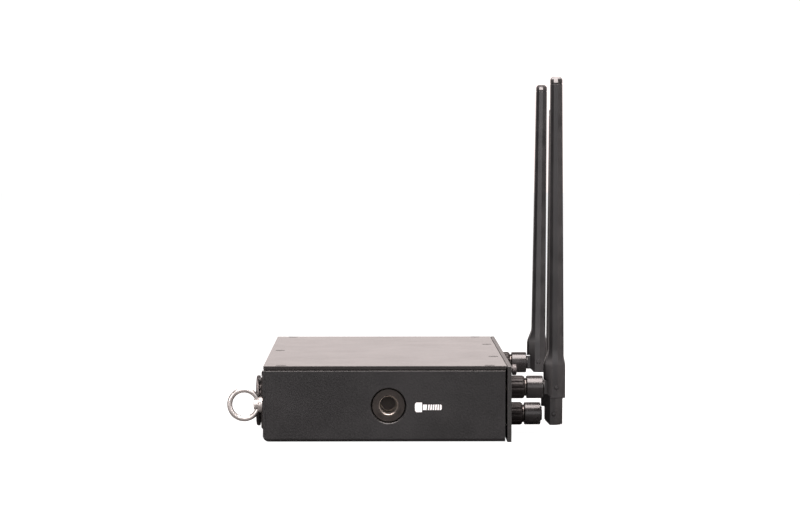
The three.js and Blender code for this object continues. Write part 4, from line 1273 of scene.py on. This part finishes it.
def buildElectronics():
    low, high = spanOf("main_board")
    outline = roundedRectangle(low.x, high.x, low.y, high.y, 1.5)
    board = prism("z", outline, low.z, high.z)
    cut(board, [rod("z", 1.6, low.z - over, high.z + over, place, 32) for place in boardScrews()])
    rounded(board, 0.12, 40, 2)
    settle(board, "main_board_plate", "housing", ["main_board"], ["boardGreen"])
    chips = []
    for i, (x, y, w, d, h) in enumerate((
        (-36, -58, 14, 14, 1.6), (-8, -58, 10, 18, 2.0), (18, -58, 8, 8, 1.2), (36, -52, 12, 6, 2.6),
        (-36, 52, 12, 12, 1.4), (-12, 56, 16, 8, 3.0), (14, 52, 10, 10, 1.6), (38, 56, 8, 14, 2.2),
    )):
        chips.append(prism("z", roundedRectangle(x, x + w, y, y + d, 0.3), high.z, high.z + h))
    parts = rounded(joined(chips), 0.15, 40, 2)
    settle(parts, "board_chips", "housing", [], ["insertPlastic"])
    low, high = spanOf("radio_module")
    can = prism("z", roundedRectangle(low.x, high.x, low.y, high.y, 1.2), low.z, high.z)
    vents = [rod("z", 0.9, high.z - 0.5, high.z + 1, (low.x + 6 + 6 * i, low.y + 8 + 8 * j, 0), 24)
             for i in range(5) for j in range(7)]
    cut(can, vents)
    rounded(can, 0.4, 40)
    settle(can, "radio_module_can", "housing", ["radio_module"], ["zincSteel"])
    low, high = spanOf("power_module")
    case = prism("z", roundedRectangle(low.x, high.x, low.y, high.y, 2), low.z, high.z)
    starts = [low.y + 5 + 7 * i for i in range(7)]
    cut(case, [block(low.x + 3, high.x - 3, y, y + 3, high.z - 0.8, high.z + over) for y in starts])
    rounded(case, 0.5, 40)
    settle(case, "power_module_case", "housing", ["power_module"], ["insertPlastic"])
    low, high = spanOf("button_switch")
    switch = prism("x", roundedRectangle(low.y, high.y, low.z, high.z, 0.8), low.x, high.x)
    rounded(switch, 0.3, 40)
    settle(switch, "button_switch_body", "housing", ["button_switch"], ["insertPlastic"])


# repeats the lead's route from its jack's tail to the radio module
def buildPigtail(name, index):
    jack = centreOf(f"{name}_jack")
    tail = spanOf(f"{name}_jack")[0].x - gap
    radio = spanOf("radio_module")
    port = Vector((radio[1].x + gap, (index - 1) * 18, radio[0].z + 3))
    straight, bend = 2, 3
    towards = math.copysign(bend, port.y - jack.y)
    points = [
        (tail, jack.y, jack.z), (tail - straight / 2, jack.y, jack.z),
        (tail - straight, jack.y + towards / 4, jack.z), (tail - bend, jack.y + towards, jack.z),
        ((tail + port.x) / 2, (jack.y + port.y) / 2, (jack.z + port.z) / 2),
        (port.x + bend, port.y - towards, port.z), (port.x + straight, port.y - towards / 4, port.z),
        (port.x + straight / 2, port.y, port.z), (port.x, port.y, port.z),
    ]
    curve = bpy.data.curves.new("route", "CURVE")
    curve.dimensions = "3D"
    curve.bevel_depth = 0.9 * mm
    curve.bevel_resolution = 5
    curve.use_fill_caps = True
    spline = curve.splines.new("NURBS")
    spline.points.add(len(points) - 1)
    for target, point in zip(spline.points, points):
        target.co = (*(Vector(point) * mm), 1)
    spline.use_endpoint_u = True
    spline.order_u = 3
    spline.resolution_u = 12
    holder = bpy.data.objects.new("route", curve)
    bpy.context.scene.collection.objects.link(holder)
    mesh = bpy.data.meshes.new_from_object(holder.evaluated_get(bpy.context.evaluated_depsgraph_get()))
    bpy.data.objects.remove(holder)
    lead = bpy.data.objects.new("lead", mesh)
    bpy.context.scene.collection.objects.link(lead)
    settle(lead, f"{name}_pigtail", "housing", [f"coax_pigtail_{name}"],
           ["coaxJacket"], angle=60)


# Floor, lights and camera

stageShape = {"floor": 6.0, "drop": 0.0004, "glow": 0.97, "pale": ((0.11, 0.11, 0.11), (0.13, 0.13, 0.13))}


def buildStage():
    bm = bmesh.new()
    bmesh.ops.create_grid(bm, x_segments=8, y_segments=8, size=stageShape["floor"])
    bmesh.ops.translate(bm, vec=(0, 0, -stageShape["drop"]), verts=bm.verts)
    mesh = bpy.data.meshes.new("floor")
    bm.to_mesh(mesh)
    bm.free()
    floor = bpy.data.objects.new("floor", mesh)
    bpy.context.scene.collection.objects.link(floor)
    material = bpy.data.materials.new("paleFloor")
    material.use_nodes = True
    tree = material.node_tree
    shader = tree.nodes["Principled BSDF"]
    place = objectPlace(tree)
    tone = addNoise(tree, place, 3.0, 4.0)
    colour = mixColour(tree, tone, *stageShape["pale"])
    tree.links.new(colour, shader.inputs["Base Color"])
    shader.inputs["Roughness"].default_value = 0.9
    shader.inputs["Specular IOR Level"].default_value = 0.0
    shader.inputs["Emission Color"].default_value = (1, 1, 1, 1)
    seen = tree.nodes.new("ShaderNodeLightPath").outputs["Is Camera Ray"]
    tree.links.new(addMath(tree, "MULTIPLY", seen, stageShape["glow"]), shader.inputs["Emission Strength"])
    mesh.materials.append(material)


def addSoftbox(name, place, target, width, height, power):
    light = bpy.data.lights.new(name, "AREA")
    light.shape = "RECTANGLE"
    light.size = width
    light.size_y = height
    light.energy = power
    light.color = worldShape["warm"]
    holder = bpy.data.objects.new(name, light)
    holder.location = place
    holder.rotation_euler = (Vector(target) - Vector(place)).to_track_quat("-Z", "Y").to_euler()
    bpy.context.scene.collection.objects.link(holder)


worldShape = {
    "front": 1.9, "side": 0.12, "back": 1.2, "upper": 0.10, "low": 0.30, "high": 0.62,
    "warm": (1, 0.895, 0.875), "plain": (1, 0.965, 0.975),
}


def buildLights():
    # a room that is bright in front of the object and behind it, dim at its sides and dark above
    world = bpy.data.worlds.new("studio")
    world.use_nodes = True
    tree = world.node_tree
    coordinates = tree.nodes.new("ShaderNodeTexCoord")
    parts = tree.nodes.new("ShaderNodeSeparateXYZ")
    tree.links.new(coordinates.outputs["Generated"], parts.inputs[0])
    behind = addMath(tree, "MULTIPLY_ADD", parts.outputs["Y"], 2.8, -1.0, clamp=True)
    ahead = addMath(tree, "MULTIPLY_ADD", parts.outputs["Y"], -2.8, -1.1, clamp=True)
    side = worldShape["side"]
    around = addMath(tree, "MULTIPLY_ADD", behind, worldShape["back"] - side, side)
    around = addMath(tree, "MULTIPLY_ADD", ahead, worldShape["front"] - side, around)
    slope = 1 / (worldShape["high"] - worldShape["low"])
    rise = addMath(tree, "MULTIPLY_ADD", parts.outputs["Z"], slope, -worldShape["low"] * slope, clamp=True)
    upper = addMath(tree, "MULTIPLY", rise, worldShape["upper"])
    strength = addMath(tree, "MULTIPLY_ADD", around, addMath(tree, "SUBTRACT", 1.0, rise), upper)
    background = tree.nodes["Background"]
    colour = mixColour(tree, behind, worldShape["plain"], worldShape["warm"])
    tree.links.new(colour, background.inputs["Color"])
    tree.links.new(strength, background.inputs["Strength"])
    bpy.context.scene.world = world
    addSoftbox("overheadBox", (0.0, -0.35, 1.25), (0.0, 0.0, 0.02), 1.3, 1.15, 74)
    addSoftbox("leftStrip", (-1.1, -1.2, 0.30), (0.1, -0.05, 0.08), 0.20, 0.9, 9)
    addSoftbox("rightStrip", (1.25, -0.9, 0.30), (0.1, -0.05, 0.08), 0.20, 0.9, 9)


cameraShape = {"place": (-0.0067, -1.425, 0.1731), "direction": (0.01054, 1.0, -0.05228), "lens": 105.15}


def buildCamera():
    data = bpy.data.cameras.new("camera")
    data.sensor_width = 36
    data.lens = cameraShape["lens"]
    data.clip_start = 0.01
    camera = bpy.data.objects.new("camera", data)
    camera.location = cameraShape["place"]
    camera.rotation_euler = Vector(cameraShape["direction"]).to_track_quat("-Z", "Y").to_euler()
    bpy.context.scene.collection.objects.link(camera)
    bpy.context.scene.camera = camera
    bpy.context.scene.view_settings.view_transform = "Standard"


buildCamera()
buildTray()
buildLid()
buildPanel()
print("case made")
buildCountersunkScrews()
print("screws made")
buildBoss()
buildBracket()
buildEyeBolt()
print("rigging made")
for connectorName in connectorNames:
    buildConnector(connectorName)
print("connectors made")
buildAntennas()
buildButton()
buildBoltSign()
buildElectronics()
for index, antennaName in enumerate(antennaNames):
    buildPigtail(antennaName, index)
print("electronics made")
buildStage()
buildLights()
